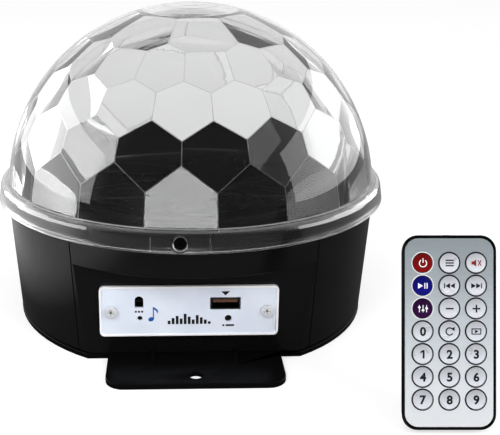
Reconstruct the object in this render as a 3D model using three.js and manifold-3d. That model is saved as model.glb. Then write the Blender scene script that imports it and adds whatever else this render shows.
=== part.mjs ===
// A disco ball light: a clear dome, faceted inside, on a black housing, with a turning lens wheel over a
// ring of lamps, a sound panel in front, and its small remote control leaning back beside it.
// Millimetres. +Z is up, the front faces -Y, and the origin is on the dome's axis at table level.
import * as THREE from "three";
import { mergeVertices } from "three/addons/utils/BufferGeometryUtils.js";
import Module from "manifold-3d";

const wasm = await Module();
wasm.setup();

// Fits and fineness
const clearance = 0.3; // between pieces that touch or slide
const screwClearance = 0.3; // round a screw's shank and head
const overrun = 1.5; // how far a cut runs past what it cuts
const ringSides = 36; // of the dome's skirt and the housing
const roundSides = 24; // of pieces as wide as a hand
const smallSides = 12; // of buttons, lenses and screws
const tinySides = 6; // of holes as small as a grille's
const domeSides = 60;
const domeSteps = 15; // from the dome's foot to its top
const cornerSteps = 3; // of a rounded corner

// Dome: smooth outside and faceted inside, standing on a skirt that wraps the housing's top
const domeRadius = 91.5;
const domeWall = 2.4; // at the facets' corners
const domeCeiling = 2.1; // the ledge that rests on the housing
const facetsRound = 18;
const facetTurn = -4; // degrees from the front
const facetRows = [
  { polar: 78.3, reachShare: 0.986, halfStep: 0, step: 1 },
  { polar: 66.1, reachShare: 0.9856, halfStep: 1, step: 1 },
  { polar: 53.2, reachShare: 0.9878, halfStep: 0, step: 1 },
  { polar: 39.7, reachShare: 0.9892, halfStep: 1, step: 1 },
  { polar: 25, reachShare: 0.9832, halfStep: 1, step: 2 },
];
const capReachShare = 0.9537;
const facetFootShare = 0.0807; // the lowest facets' feet, above the sphere's centre
const skirtWall = 4.1;
const skirtDrop = 7; // below the housing's top
const skirtTaper = 0.8;
const skirtShoulder = 3.6; // radius of its rounded top edge
const domeScrewCount = 3;
const domeScrewRise = 4.2; // above the skirt's edge

// Housing: a slightly conical drum with a flat face in front and behind
const bandOverhang = 0.3; // of the drum's top past the dome's sphere
const housingDraft = 3.8; // how much narrower it is at the foot
const housingHeight = 63.3;
const housingWall = 2.5;
const bandHeight = 20; // of the full round above the flat faces
const faceInset = 18.4; // from the round to the flat face
const footChamfer = 0.8;
const straightHeight = 8; // of the drum's top, where it has no draft
const seamAngle = 36.8; // degrees to each side, where the fascia meets the rear housing
const ledgeDrop = 10.6; // from the housing's top to the ledge that carries the deck
const ledgeThickness = 2.5;
const ledgeWidth = 3.4;
const deckRebate = 0.1; // by which the wall is thinned above the ledge

// Base plate with an ear in front and behind
const baseThickness = 2.5;
const earWidth = 78.4;
const earReach = 28.6; // from the flat face
const earCorner = 8;
const earHoleRadius = 3.1;
const earHoleInset = 8; // from the ear's edge
const gussetSpacing = 37.2;
const gussetThickness = 1.6;
const gussetHeight = 3;
const gussetLength = 15.5;
const baseBossRadius = 4;
const baseBossHeight = 14;
const frontBossSpacing = 84;
const rearBossAngle = 47; // degrees from the rear

// Screws
const baseScrew = { headRadius: 3, headHeight: 1, shankRadius: 1.6, length: 9 };
const domeScrew = { headRadius: 2.85, headHeight: 1.6, shankRadius: 1.5, length: 6.6 };
const panelScrew = { headRadius: 2.7, headHeight: 1.3, shankRadius: 1.3, length: 9 };
const crossWidth = 0.8;
const crossDepth = 0.8;
const crossShare = 1.2; // of the head's radius
const headCrown = 0.4;

// Front panel
const panelWidth = 80;
const panelHeight = 24;
const panelThickness = 1.4;
const panelCorner = 2.2;
const panelLip = 1;
const panelLipHeight = 0.5;
const panelX = -2.5;
const panelDrop = 0.4; // of its middle below the flat face's
const panelScrewSpacing = 69.6;
const windowWidth = 56; // of the fascia's opening behind the panel
const windowHeight = 17;
const panelBossRadius = 4;
const panelBossLength = 9.7;
const boardThickness = 1.6;
const controlBoardHeight = 28;
const controlBoardWidth = 78;
const chipWidth = 7.4;
const chipHeight = 1.2;
const chipX = -4; // from the board's middle

// What shows in the front panel, placed from its middle
const usbX = 16.2;
const usbRise = 3.4;
const usbWidth = 13;
const usbHeight = 5.2;
const usbWall = 0.4;
const usbTongueThickness = 1.6;
const usbTongueWidth = 11;
const usbTongueSetback = 0.8;
const usbRearWall = 1.2;
const irX = -22.3;
const irRise = 4.4;
const irWindowWidth = 3.8;
const irWindowHeight = 5.5;
const irBodyWidth = 6;
const irBodyHeight = 7.4;
const irBodyDepth = 2.6;
const irLensRadius = 1.5;
const irLegWidth = 0.6;
const irLegPitch = 2;
const irLegCount = 3;
const microphoneX = -22;
const microphoneRise = -3.5;
const microphoneRadius = 1.1;
const statusX = 17.5;
const statusRise = -3.9;
const statusRadius = 1.25;
const statusFlange = 0.5;
const statusLedDepth = 4;

// Rear face: speaker, power inlet and switch
const speakerRise = 0.6; // of its middle above the flat face's
const speakerRadius = 19;
const speakerFlange = 1.6;
const speakerFlangeWidth = 2.6;
const speakerDepth = 15;
const speakerWall = 1.2;
const magnetRadius = 11;
const coneWall = 0.8;
const coneDepth = 6;
const coneRim = 1.2;
const capRadius = 4.5;
const grilleRings = 3;
const grillePitch = 5;
const grilleHoleRadius = 1.5;
const rearDeviceSpacing = 72; // between the inlet's and the switch's middles
const rearDeviceDrop = 3.4; // of their middles below the flat face's
const inletRadius = 5.5;
const inletFlangeRadius = 7.2;
const inletFlange = 1.6;
const inletLength = 13;
const inletBoreRadius = 2.9;
const inletBoreDepth = 9.5;
const inletPinRadius = 1;
const switchWidth = 15;
const switchHeight = 21;
const switchFlange = 1.6;
const switchBodyWidth = 12.4;
const switchBodyHeight = 18.6;
const switchBodyDepth = 14;
const switchCavityDepth = 8.5;
const rockerWidth = 9.4;
const rockerHeight = 14.6;
const rockerThickness = 3.4;
const rockerDip = 0.8; // of the rocker's middle below its ends
const rockerTilt = 8; // degrees from level when off
const rockerPivotDepth = 2.6; // below the bezel's face
const rockerPivotRadius = 1;
const rockerPivotLength = 0.9;
const rockerRoom = 0.9; // round the rocker's ends, for its swing

// Power board, lying on posts of the base plate
const powerBoardWidth = 62;
const powerBoardDepth = 46;
const powerBoardY = 12;
const powerPostHeight = 7;
const powerPostRadius = 2.6;
const powerPostInset = 5;
const transformerWidth = 20;
const transformerDepth = 17;
const transformerHeight = 15;
const capacitorRadius = 5;
const capacitorHeight = 14;

// Deck, lamps and cooling
const deckThickness = 2.3;
const deckLipWall = 1.7;
const lampCount = 6;
const lampCircle = 30; // radius of the circle that the lamps stand on
const lampWindowRadius = 9;
const lensRadius = 8.4;
const lensCrown = 1.8;
const lensFootRadius = 4;
const lensFootDepth = 4.6;
const lensPlateThickness = 1.6;
const lensPlateInner = 19.5;
const lensPlateOuter = 41.5;
const deckPostCount = 4;
const deckPostRadius = 3;
const deckPostLength = 11.5;
const deckPostCircle = 47;
const heatSinkRadius = 51;
const heatSinkPlate = 3;
const finCount = 9;
const finThickness = 1.4;
const finHeight = 8;
const finPitch = 9;
const lampBoardRadius = 42.5;
const emitterWidth = 5;
const emitterHeight = 1.2;

// Motor and rotor
const motorRadius = 12;
const motorHeight = 16;
const motorRoom = 1.2; // round the motor, in the lamp board and the heat sink
const motorBore = 8; // depth of the shaft in the motor
const bracketLength = 34;
const bracketWidth = 9;
const bracketThickness = 1.5;
const bracketLegThickness = 1.6;
const bracketDrop = 3.4; // from the deck to the bracket's bar
const shaftRadius = 2.5;
const shaftHoleRadius = 4.2; // in the deck
const rotorGap = 1.5; // between the deck and the rotor
const carrierRadius = 58;
const carrierThickness = 1.8;
const hubRadius = 6.5;
const hubHeight = 4.6;
const wheelLensCount = 9;
const wheelLensCircle = 41;
const wheelLensRadius = 10.5;
const wheelLensCrown = 1.6;
const wheelThickness = 1.2;
const wheelInset = 2; // of the lens wheel's edge from the carrier's

// Remote control, leaning back on its lower end with its face to the viewer
const remoteWidth = 36.9;
const remoteHeight = 75.8;
const remoteTaper = 1.6; // of its sides and its upper end towards the back
const remoteCorner = 6.2;
const remoteRim = 1;
const remoteRight = 5.15; // of the housing's radius, to the remote's middle
const remoteAhead = 43.6; // of the skirt's radius, to the remote's face
const remoteTurn = -1.4; // degrees, about the upright
const remoteLean = 16.74; // degrees from the upright
const faceThickness = 0.8;
const faceLedge = 1.6; // width of the step that carries the face
const remoteBack = 0.8;
const remoteBoardThickness = 0.8;
const keyGap = 1.35; // between neighbouring keys, where they stand closest
const keyFlange = 0.6; // width and thickness of the rim that keeps a key behind the face
const keyCrown = 0.5;
const keyStand = 0.2; // of its edge in front of the face
const keyTravel = 0.35;
const keyColumnPitch = 10.35;
const lowestKeyRow = 11.95; // above the lower end
const highestKeyRow = 10.8; // below the upper end
const keyNames = [
  ["key_7", "key_8", "key_9"],
  ["key_4", "key_5", "key_6"],
  ["key_1", "key_2", "key_3"],
  ["key_0", "key_repeat", "key_source"],
  ["key_equaliser", "key_volume_down", "key_volume_up"],
  ["key_play_pause", "key_previous", "key_next"],
  ["key_power", "key_mode", "key_mute"],
];
const keyColours = { key_power: 0x9c1414, key_play_pause: 0x141487, key_equaliser: 0x2e1038 };
const trayWidth = 24;
const trayLength = 27;
const trayFloor = 0.4;
const trayThickness = 3;
const trayGripHeight = 1.2;
const trayGripWidth = 12;
const cellRadius = 10;
const cellThickness = 2.3;
const cellRise = 12.5; // of its middle above the remote's end
const partsBayWidth = 26;
const partsBayRib = 9.3; // between it and the battery tray
const emitterLedRadius = 1.5;
const emitterLedStand = -0.3; // past the case's full height

// Levels and radii that follow from the sizes above
const housingBottom = baseThickness + clearance;
const housingTop = housingBottom + housingHeight;
const bandBottom = housingTop - bandHeight;
const housingRadius = domeRadius + bandOverhang;
const footRadius = housingRadius - housingDraft;
const faceY = -(housingRadius - faceInset);
const flatMiddle = (housingBottom + bandBottom) / 2;
const panelLevel = flatMiddle - panelDrop;
const speakerLevel = flatMiddle + speakerRise;
const rearDeviceLevel = flatMiddle - rearDeviceDrop;
const innerFaceY = faceY + housingWall;
const ledgeTop = housingTop - ledgeDrop;
const recessRadius = housingRadius - housingWall - deckRebate;
const deckBottom = ledgeTop + clearance;
const deckTop = deckBottom + deckThickness;
const deckRadius = recessRadius - clearance;
const ceilingBottom = housingTop + clearance;
const skirtTop = ceilingBottom + domeCeiling;
const skirtBottom = housingTop - skirtDrop;
const skirtInnerRadius = housingRadius + clearance;
const skirtRadius = skirtInnerRadius + skirtWall;
const facetSphere = domeRadius - domeWall;
const domeCentre = skirtTop - facetFootShare * domeRadius;
const domeScrewLevel = skirtBottom + domeScrewRise;
const domeScrewSeat = skirtRadius - skirtTaper - domeScrew.headHeight - headCrown;
const panelBack = faceY - clearance;
const panelFront = panelBack - panelThickness;
const boardFront = innerFaceY + panelBossLength + clearance;
const powerBoardBottom = baseThickness + powerPostHeight + clearance;
const heatSinkTop = deckBottom - deckPostLength - clearance;
const lampBoardBottom = heatSinkTop + clearance;
const motorTop = deckBottom - bracketDrop - bracketThickness - clearance;
const carrierBottom = deckTop + rotorGap;
const carrierTop = carrierBottom + carrierThickness;
const keyRowPitch = (remoteHeight - lowestKeyRow - highestKeyRow) / (keyNames.length - 1);
const keyRadius = (Math.min(keyColumnPitch, keyRowPitch) - keyGap) / 2;
const partsBayHeight = remoteHeight - remoteCorner - trayLength - partsBayRib;
const boardBackInRemote = faceThickness + clearance + keyFlange + keyTravel + clearance
  + remoteBoardThickness;
const trayFront = boardBackInRemote + clearance;
const trayBack = trayFront + trayThickness;
const remoteThickness = trayBack + clearance + remoteBack;
const rearDeviceX = rearDeviceSpacing / 2;

const degrees = THREE.MathUtils.degToRad;
const quarterTurn = Math.PI / 2;

// Solids: closed geometries that are joined and cut

// A closed geometry as a solid. Triangles that have collapsed on a lathe's axis are dropped.
function toSolid(geometry) {
  let merged = geometry;
  if (geometry.attributes.normal) {
    const bare = geometry.index ? geometry.toNonIndexed() : geometry.clone();
    bare.deleteAttribute("normal");
    bare.deleteAttribute("uv");
    merged = mergeVertices(bare);
  }
  const corners = [];
  const index = merged.index.array;
  for (let i = 0; i < index.length; i += 3) {
    const [a, b, c] = [index[i], index[i + 1], index[i + 2]];
    if (a !== b && b !== c && c !== a) corners.push(a, b, c);
  }
  return new wasm.Manifold(new wasm.Mesh({
    numProp: 3,
    vertProperties: new Float32Array(merged.attributes.position.array),
    triVerts: new Uint32Array(corners),
  }));
}

function toGeometry(solid) {
  const { vertProperties, triVerts } = solid.getMesh();
  const position = new THREE.BufferAttribute(vertProperties, 3);
  return new THREE.BufferGeometry()
    .setAttribute("position", position)
    .setIndex(new THREE.BufferAttribute(triVerts, 1));
}

function join(first, ...others) {
  return toGeometry(others.reduce((sum, other) => sum.add(toSolid(other)), toSolid(first)));
}

function cut(piece, ...tools) {
  return toGeometry(tools.reduce((rest, tool) => rest.subtract(toSolid(tool)), toSolid(piece)));
}

function common(one, other) {
  return toGeometry(toSolid(one).intersect(toSolid(other)));
}

// A round bar standing on z = 0.
function bar(radius, height, sides = smallSides, topRadius = radius) {
  return new THREE.CylinderGeometry(topRadius, radius, height, sides)
    .rotateX(quarterTurn)
    .translate(0, 0, height / 2);
}

// A block standing on z = 0, centred on the origin.
function block(width, depth, height) {
  return new THREE.BoxGeometry(width, depth, height).translate(0, 0, height / 2);
}

function roundedOutline(width, depth, corner) {
  const x = width / 2 - corner;
  const y = depth / 2 - corner;
  const outline = new THREE.Shape();
  outline.absarc(x, -y, corner, -quarterTurn, 0);
  outline.absarc(x, y, corner, 0, quarterTurn);
  outline.absarc(-x, y, corner, quarterTurn, 2 * quarterTurn);
  outline.absarc(-x, -y, corner, 2 * quarterTurn, 3 * quarterTurn);
  return outline;
}

function extruded(outline, height) {
  const settings = { depth: height, bevelEnabled: false, curveSegments: cornerSteps };
  return new THREE.ExtrudeGeometry(outline, settings);
}

// A plate with rounded corners, standing on z = 0.
function plate(width, depth, corner, height) {
  return extruded(roundedOutline(width, depth, corner), height);
}

// A profile of [radius, height] points, anticlockwise, turned about the Z axis.
function spun(profile, sides = roundSides) {
  const points = profile.map(([radius, height]) => new THREE.Vector2(radius, height));
  return new THREE.LatheGeometry(points, sides).rotateX(quarterTurn);
}

function spunRing(profile, sides = roundSides) {
  return spun([...profile, profile[0]], sides);
}

// A solid whose axis is Z, laid along Y, so that what was its top faces the front.
function facingFront(geometry) {
  return geometry.rotateX(quarterTurn);
}

function facingRear(geometry) {
  return geometry.rotateX(-quarterTurn);
}

// A screw with its head's underside on z = 0, its crowned head up, and a cross in the head.
function screw({ headRadius, headHeight, shankRadius, length }) {
  const turned = spun([
    [0, -length],
    [shankRadius, -length],
    [shankRadius, 0],
    [headRadius, 0],
    [headRadius, headHeight],
    [0, headHeight + headCrown],
  ], smallSides);
  const top = headHeight + headCrown;
  const slot = () => block(crossShare * headRadius, crossWidth, crossDepth + overrun)
    .translate(0, 0, top - crossDepth);
  return cut(turned, slot(), slot().rotateZ(quarterTurn));
}

function circlePlace(radius, turn) {
  return { x: radius * Math.sin(turn), y: -radius * Math.cos(turn) };
}

function ringTurns(count, first = 0) {
  return Array.from({ length: count }, (_, i) => first + (i * 2 * Math.PI) / count);
}

function finish(colour, roughness, metalness = 0, opacity = 1) {
  const transparent = opacity < 1;
  return new THREE.MeshStandardMaterial({ color: colour, roughness, metalness, opacity, transparent });
}

const glossBlack = () => finish(0x0d0d0e, 0.18);
const mattBlack = () => finish(0x141415, 0.6);
const clearPlastic = () => finish(0xf4f7f8, 0.05, 0, 0.3);
const steel = () => finish(0xb9bcc0, 0.3, 1);
const circuitGreen = () => finish(0x1f5a34, 0.5);

const light = new THREE.Group();

function addTo(group, name, geometry, material, x = 0, y = 0, z = 0) {
  const mesh = new THREE.Mesh(geometry, material);
  mesh.name = name;
  mesh.position.set(x, y, z);
  group.add(mesh);
  return mesh;
}

// Base plate

function bodyOutline(radius) {
  const half = Math.asin(-faceY / radius);
  const outline = new THREE.Shape();
  outline.absarc(0, 0, radius, -half, half);
  outline.absarc(0, 0, radius, Math.PI - half, Math.PI + half);
  return outline;
}

function roundBodyPlate(radius, height) {
  const settings = { depth: height, bevelEnabled: false, curveSegments: roundSides / 2 };
  return new THREE.ExtrudeGeometry(bodyOutline(radius), settings);
}

function gusset() {
  const outline = new THREE.Shape();
  outline.moveTo(0, 0);
  outline.lineTo(gussetLength, 0);
  outline.lineTo(0, gussetHeight);
  return extruded(outline, gussetThickness)
    .rotateX(quarterTurn)
    .rotateZ(-quarterTurn)
    .translate(gussetThickness / 2, 0, 0);
}

const frontBosses = [-1, 1].map((side) => ({
  x: (side * frontBossSpacing) / 2,
  y: innerFaceY + baseBossRadius - overrun,
}));
const rearBosses = [-1, 1].map((side) => {
  const reach = footRadius - housingWall - baseBossRadius + overrun;
  return circlePlace(reach, Math.PI + side * degrees(rearBossAngle));
});
const baseBosses = [...frontBosses, ...rearBosses];

// The counterbore that hides a base screw's head.
const baseScrewSeat = baseScrew.headHeight + headCrown + 2 * clearance;

const powerPosts = [-1, 1].flatMap((right) => [-1, 1].map((back) => ({
  x: right * (powerBoardWidth / 2 - powerPostInset),
  y: powerBoardY + back * (powerBoardDepth / 2 - powerPostInset),
})));

function basePlate() {
  const earMiddle = -faceY + earReach - earCorner;
  const ears = plate(earWidth, 2 * (earMiddle + earCorner), earCorner, baseThickness);
  let base = join(roundBodyPlate(footRadius, baseThickness), ears);
  for (const end of [-1, 1]) {
    const holeY = end * (-faceY + earReach - earHoleInset);
    const hole = bar(earHoleRadius, baseThickness + 2 * overrun, roundSides);
    base = cut(base, hole.translate(0, holeY, -overrun));
    for (const side of [-1, 1]) {
      const rib = gusset().translate(
        (side * gussetSpacing) / 2,
        faceY - clearance,
        baseThickness - gussetThickness / 2,
      );
      base = join(base, end < 0 ? rib : rib.rotateZ(2 * quarterTurn));
    }
  }
  for (const { x, y } of baseBosses) {
    const shank = bar(baseScrew.shankRadius + screwClearance, baseThickness + 2 * overrun);
    const head = bar(baseScrew.headRadius + screwClearance, baseScrewSeat + overrun);
    base = cut(base, shank.translate(x, y, -overrun), head.translate(x, y, -overrun));
  }
  for (const { x, y } of powerPosts) {
    const post = bar(powerPostRadius, powerPostHeight + baseThickness / 2);
    base = join(base, post.translate(x, y, baseThickness / 2));
  }
  return base;
}

addTo(light, "base_plate", basePlate(), glossBlack());
baseBosses.forEach(({ x, y }, i) => {
  const turned = screw(baseScrew).rotateX(2 * quarterTurn);
  addTo(light, "base_screw_" + (i + 1), turned, steel(), x, y, baseScrewSeat - clearance);
});

// Housing: one turned shell, parted into the front fascia and the rear housing

function flatSides(y, top) {
  const reach = housingRadius - y;
  return [-1, 1].map((end) => block(2 * housingRadius, reach, top + overrun)
    .translate(0, end * (y + reach / 2), -overrun));
}

function housingOutside() {
  const drum = spun([
    [0, housingBottom],
    [footRadius - footChamfer, housingBottom],
    [footRadius, housingBottom + footChamfer],
    [housingRadius, housingTop - straightHeight],
    [housingRadius, housingTop],
    [0, housingTop],
  ], ringSides);
  return cut(drum, ...flatSides(-faceY, bandBottom));
}

function housingInside() {
  const ledgeBottom = ledgeTop - ledgeThickness;
  const room = spun([
    [0, housingBottom - overrun],
    [footRadius - housingWall, housingBottom - overrun],
    [footRadius - housingWall, housingBottom],
    [housingRadius - housingWall, ledgeBottom - ledgeWidth],
    [recessRadius - ledgeWidth, ledgeBottom],
    [recessRadius - ledgeWidth, ledgeTop],
    [recessRadius, ledgeTop],
    [recessRadius, housingTop + overrun],
    [0, housingTop + overrun],
  ], ringSides);
  return cut(room, ...flatSides(-innerFaceY, bandBottom + housingWall));
}

function housingShell() {
  let shell = cut(housingOutside(), housingInside());
  for (const { x, y } of baseBosses) {
    const boss = bar(baseBossRadius, baseBossHeight).translate(x, y, housingBottom);
    const bore = bar(baseScrew.shankRadius + screwClearance, baseScrew.length + overrun);
    shell = cut(join(shell, boss), bore.translate(x, y, housingBottom - overrun));
  }
  return cut(shell, ...domeScrewHoles());
}

// The wedge that the fascia fills, moved forwards or back by its share of the seam.
function seamWedge(shift) {
  const reach = 2 * housingRadius;
  const outline = new THREE.Shape();
  outline.moveTo(0, 0);
  outline.lineTo(-reach * Math.tan(degrees(seamAngle)), -reach);
  outline.lineTo(reach * Math.tan(degrees(seamAngle)), -reach);
  return extruded(outline, housingTop + overrun).translate(0, shift, 0);
}

function domeScrewTurns() {
  return ringTurns(domeScrewCount, degrees(facetTurn));
}

// A bar that starts at a radius and points outwards.
function radialBar(radius, length, turn, startRadius, level) {
  return bar(radius, length).rotateX(quarterTurn).translate(0, -startRadius, 0)
    .rotateZ(turn)
    .translate(0, 0, level);
}

function domeScrewHoles() {
  const inside = domeScrewSeat - domeScrew.length - overrun;
  const radius = domeScrew.shankRadius + screwClearance;
  const length = domeScrew.length + 2 * overrun;
  return domeScrewTurns().map((turn) => radialBar(radius, length, turn, inside, domeScrewLevel));
}

const seamShift = clearance / 2 / Math.sin(degrees(seamAngle));
const panelScrewPlaces = [-1, 1].map((side) => panelX + (side * panelScrewSpacing) / 2);

function frontFascia() {
  let fascia = common(housingShell(), seamWedge(-seamShift));
  const depth = housingWall + 2 * overrun;
  const window = facingFront(plate(windowWidth, windowHeight, panelCorner, depth))
    .translate(panelX, innerFaceY + overrun, panelLevel);
  fascia = cut(fascia, window);
  for (const x of panelScrewPlaces) {
    const boss = facingRear(bar(panelBossRadius, panelBossLength + overrun))
      .translate(x, innerFaceY - overrun, panelLevel);
    const bore = facingFront(bar(panelScrew.shankRadius + screwClearance, panelScrew.length + overrun))
      .translate(x, panelFront + panelScrew.length, panelLevel);
    fascia = cut(join(fascia, boss), bore);
  }
  return fascia;
}

function grilleHoles() {
  const depth = housingWall + 2 * overrun;
  const hole = (x, z) => facingRear(bar(grilleHoleRadius, depth, tinySides))
    .translate(x, -innerFaceY - overrun, speakerLevel + z);
  const holes = [hole(0, 0)];
  for (let ring = 1; ring < grilleRings; ring += 1) {
    for (const turn of ringTurns(6 * ring)) {
      holes.push(hole(ring * grillePitch * Math.sin(turn), ring * grillePitch * Math.cos(turn)));
    }
  }
  return holes;
}

function rearHousing() {
  const depth = housingWall + 2 * overrun;
  const inlet = facingRear(bar(inletRadius + clearance, depth, roundSides))
    .translate(rearDeviceX, -innerFaceY - overrun, rearDeviceLevel);
  const cutout = block(switchBodyWidth + 2 * clearance, depth, switchBodyHeight + 2 * clearance)
    .translate(-rearDeviceX, -innerFaceY + housingWall / 2, rearDeviceLevel
      - switchBodyHeight / 2 - clearance);
  return cut(housingShell(), seamWedge(seamShift), inlet, cutout, ...grilleHoles());
}

addTo(light, "front_fascia", frontFascia(), glossBlack());
addTo(light, "rear_housing", rearHousing(), glossBlack());

// Front panel and what shows in it

function frontPanel() {
  const lipped = plate(panelWidth, panelHeight, panelCorner, panelThickness + panelLipHeight);
  const innerCorner = panelCorner - panelLip;
  const hollow = plate(panelWidth - 2 * panelLip, panelHeight - 2 * panelLip, innerCorner, panelThickness);
  const through = panelThickness + 2 * overrun;
  const holes = [
    block(usbWidth + 2 * clearance, usbHeight + 2 * clearance, through).translate(usbX, usbRise, 0),
    block(irWindowWidth, irWindowHeight - irWindowWidth / 2, through)
      .translate(irX, irRise - irWindowWidth / 4, 0),
    bar(irWindowWidth / 2, through)
      .translate(irX, irRise + irWindowHeight / 2 - irWindowWidth / 2, 0),
    bar(microphoneRadius, through, smallSides).translate(microphoneX, microphoneRise, 0),
    bar(statusRadius + clearance, through, smallSides).translate(statusX, statusRise, 0),
    ...[-1, 1].map((side) => bar(panelScrew.shankRadius + screwClearance, through)
      .translate((side * panelScrewSpacing) / 2, 0, 0)),
  ].map((hole) => hole.translate(0, 0, -overrun));
  return facingFront(cut(lipped, hollow.translate(0, 0, panelThickness), ...holes));
}

addTo(light, "front_panel", frontPanel(), finish(0xd8def0, 0.45), panelX, panelBack, panelLevel);
["panel_screw_left", "panel_screw_right"].forEach((name, i) => {
  const y = panelFront - clearance;
  addTo(light, name, facingFront(screw(panelScrew)), steel(), panelScrewPlaces[i], y, panelLevel);
});

function controlBoard() {
  const board = block(controlBoardWidth, boardThickness, controlBoardHeight)
    .translate(0, boardThickness / 2, -controlBoardHeight / 2);
  const chip = block(chipWidth, boardThickness + 2 * chipHeight, chipWidth);
  return join(board, chip.translate(chipX, boardThickness / 2 + chipHeight, -chipWidth / 2));
}

addTo(light, "control_board", controlBoard(), circuitGreen(), panelX, boardFront, panelLevel);

const usbLength = boardFront - clearance - panelFront;

function usbShell() {
  const outside = block(usbWidth, usbLength, usbHeight);
  const inside = block(usbWidth - 2 * usbWall, usbLength, usbHeight - 2 * usbWall);
  return cut(outside, inside.translate(0, -usbRearWall, usbWall));
}

function usbTongue() {
  const length = usbLength - usbRearWall - usbTongueSetback - clearance;
  return block(usbTongueWidth, length, usbTongueThickness);
}

addTo(light, "usb_shell", usbShell(), steel(), panelX + usbX, panelFront + usbLength / 2,
  panelLevel + usbRise - usbHeight / 2);
addTo(light, "usb_tongue", usbTongue(), finish(0x5a3a2a, 0.5), panelX + usbX,
  panelFront + usbTongueSetback + (usbLength - usbRearWall - usbTongueSetback - clearance) / 2,
  panelLevel + usbRise + usbHeight / 2 - usbWall - clearance - usbTongueThickness);

// The receiver stands right behind its window, on legs that reach back to the board.
function irReceiver() {
  const body = block(irBodyWidth, irBodyDepth, irBodyHeight)
    .translate(0, irBodyDepth / 2, -irBodyHeight / 2);
  const bump = facingFront(bar(irLensRadius, housingWall, smallSides, irLensRadius / 2));
  const legLength = boardFront - innerFaceY - clearance - irBodyDepth;
  let receiver = join(body, bump.translate(0, clearance, 0));
  for (let i = 0; i < irLegCount; i += 1) {
    const x = (i - (irLegCount - 1) / 2) * irLegPitch;
    const leg = block(irLegWidth, legLength, irLegWidth);
    receiver = join(receiver, leg.translate(x, irBodyDepth + legLength / 2 - clearance, -irBodyHeight / 2));
  }
  return receiver;
}

addTo(light, "ir_receiver", irReceiver(), finish(0x101012, 0.1), panelX + irX, innerFaceY,
  panelLevel + irRise);

function statusLed() {
  const length = boardFront - clearance - panelFront;
  return facingFront(spun([
    [0, 0],
    [statusRadius + statusFlange, 0],
    [statusRadius + statusFlange, statusLedDepth],
    [statusRadius, statusLedDepth],
    [statusRadius, length - statusRadius],
    [0, length],
  ], smallSides));
}

addTo(light, "status_led", statusLed(), finish(0xd9e6ff, 0.1, 0, 0.6), panelX + statusX,
  boardFront - clearance, panelLevel + statusRise);

// Power board

function powerBoard() {
  const board = block(powerBoardWidth, powerBoardDepth, boardThickness);
  const lift = boardThickness / 2;
  const transformer = block(transformerWidth, transformerDepth, transformerHeight + lift);
  const capacitor = bar(capacitorRadius, capacitorHeight + lift);
  const quarter = powerBoardWidth / 4;
  return join(
    board,
    transformer.translate(-quarter, 0, lift),
    capacitor.translate(quarter, powerPostInset, lift),
  );
}

addTo(light, "power_board", powerBoard(), circuitGreen(), 0, powerBoardY, powerBoardBottom);

// Rear: speaker, inlet and switch, each laid with its face to the rear

function speakerFrame() {
  const innerRadius = speakerRadius - speakerFlangeWidth;
  return facingRear(spun([
    [0, -speakerDepth],
    [magnetRadius, -speakerDepth],
    [magnetRadius, -speakerDepth / 2],
    [innerRadius, -speakerFlange],
    [speakerRadius, -speakerFlange],
    [speakerRadius, 0],
    [innerRadius, 0],
    [innerRadius - speakerWall, -speakerFlange],
    [capRadius + coneRim, -coneDepth - speakerWall],
    [0, -coneDepth - speakerWall],
  ]));
}

function speakerCone() {
  const rimRadius = speakerRadius - speakerFlangeWidth - 2 * clearance - speakerWall;
  const run = coneDepth - speakerFlange;
  return facingRear(spun([
    [0, -run - clearance],
    [capRadius, -run - clearance],
    [rimRadius, 0],
    [rimRadius - coneRim, coneWall],
    [capRadius, -run + coneWall],
    [capRadius / 2, -run + capRadius / 2],
    [0, -run + capRadius / 2 + coneWall / 2],
  ]));
}

const speakerY = -innerFaceY - clearance;
addTo(light, "speaker_frame", speakerFrame(), mattBlack(), 0, speakerY, speakerLevel);
addTo(light, "speaker_cone", speakerCone(), finish(0x22201e, 0.85), 0, speakerY - speakerFlange,
  speakerLevel);

function powerInlet() {
  const turned = spun([
    [0, -inletLength],
    [inletRadius, -inletLength],
    [inletRadius, clearance],
    [inletFlangeRadius, clearance],
    [inletFlangeRadius, inletFlange],
    [inletBoreRadius, inletFlange],
    [inletBoreRadius, inletFlange - inletBoreDepth],
    [inletPinRadius, inletFlange - inletBoreDepth],
    [inletPinRadius, -inletPinRadius],
    [0, 0],
  ], roundSides);
  return facingRear(turned);
}

addTo(light, "power_inlet", powerInlet(), mattBlack(), rearDeviceX, -faceY, rearDeviceLevel);

function switchBody() {
  const bezel = plate(switchWidth, switchHeight, panelCorner / 2, switchFlange)
    .translate(0, 0, clearance);
  const body = block(switchBodyWidth, switchBodyHeight, switchBodyDepth + 2 * clearance)
    .translate(0, 0, -switchBodyDepth);
  const room = block(rockerWidth + 2 * clearance, rockerHeight + 2 * rockerRoom,
    switchCavityDepth + overrun).translate(0, 0, switchFlange + clearance - switchCavityDepth);
  const pivotRoom = new THREE.CylinderGeometry(rockerPivotRadius + clearance,
    rockerPivotRadius + clearance, rockerWidth + 2 * rockerPivotLength + 2 * clearance, smallSides)
    .rotateZ(quarterTurn).translate(0, 0, switchFlange - rockerPivotDepth);
  return facingRear(cut(join(bezel, body), room, pivotRoom));
}

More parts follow.
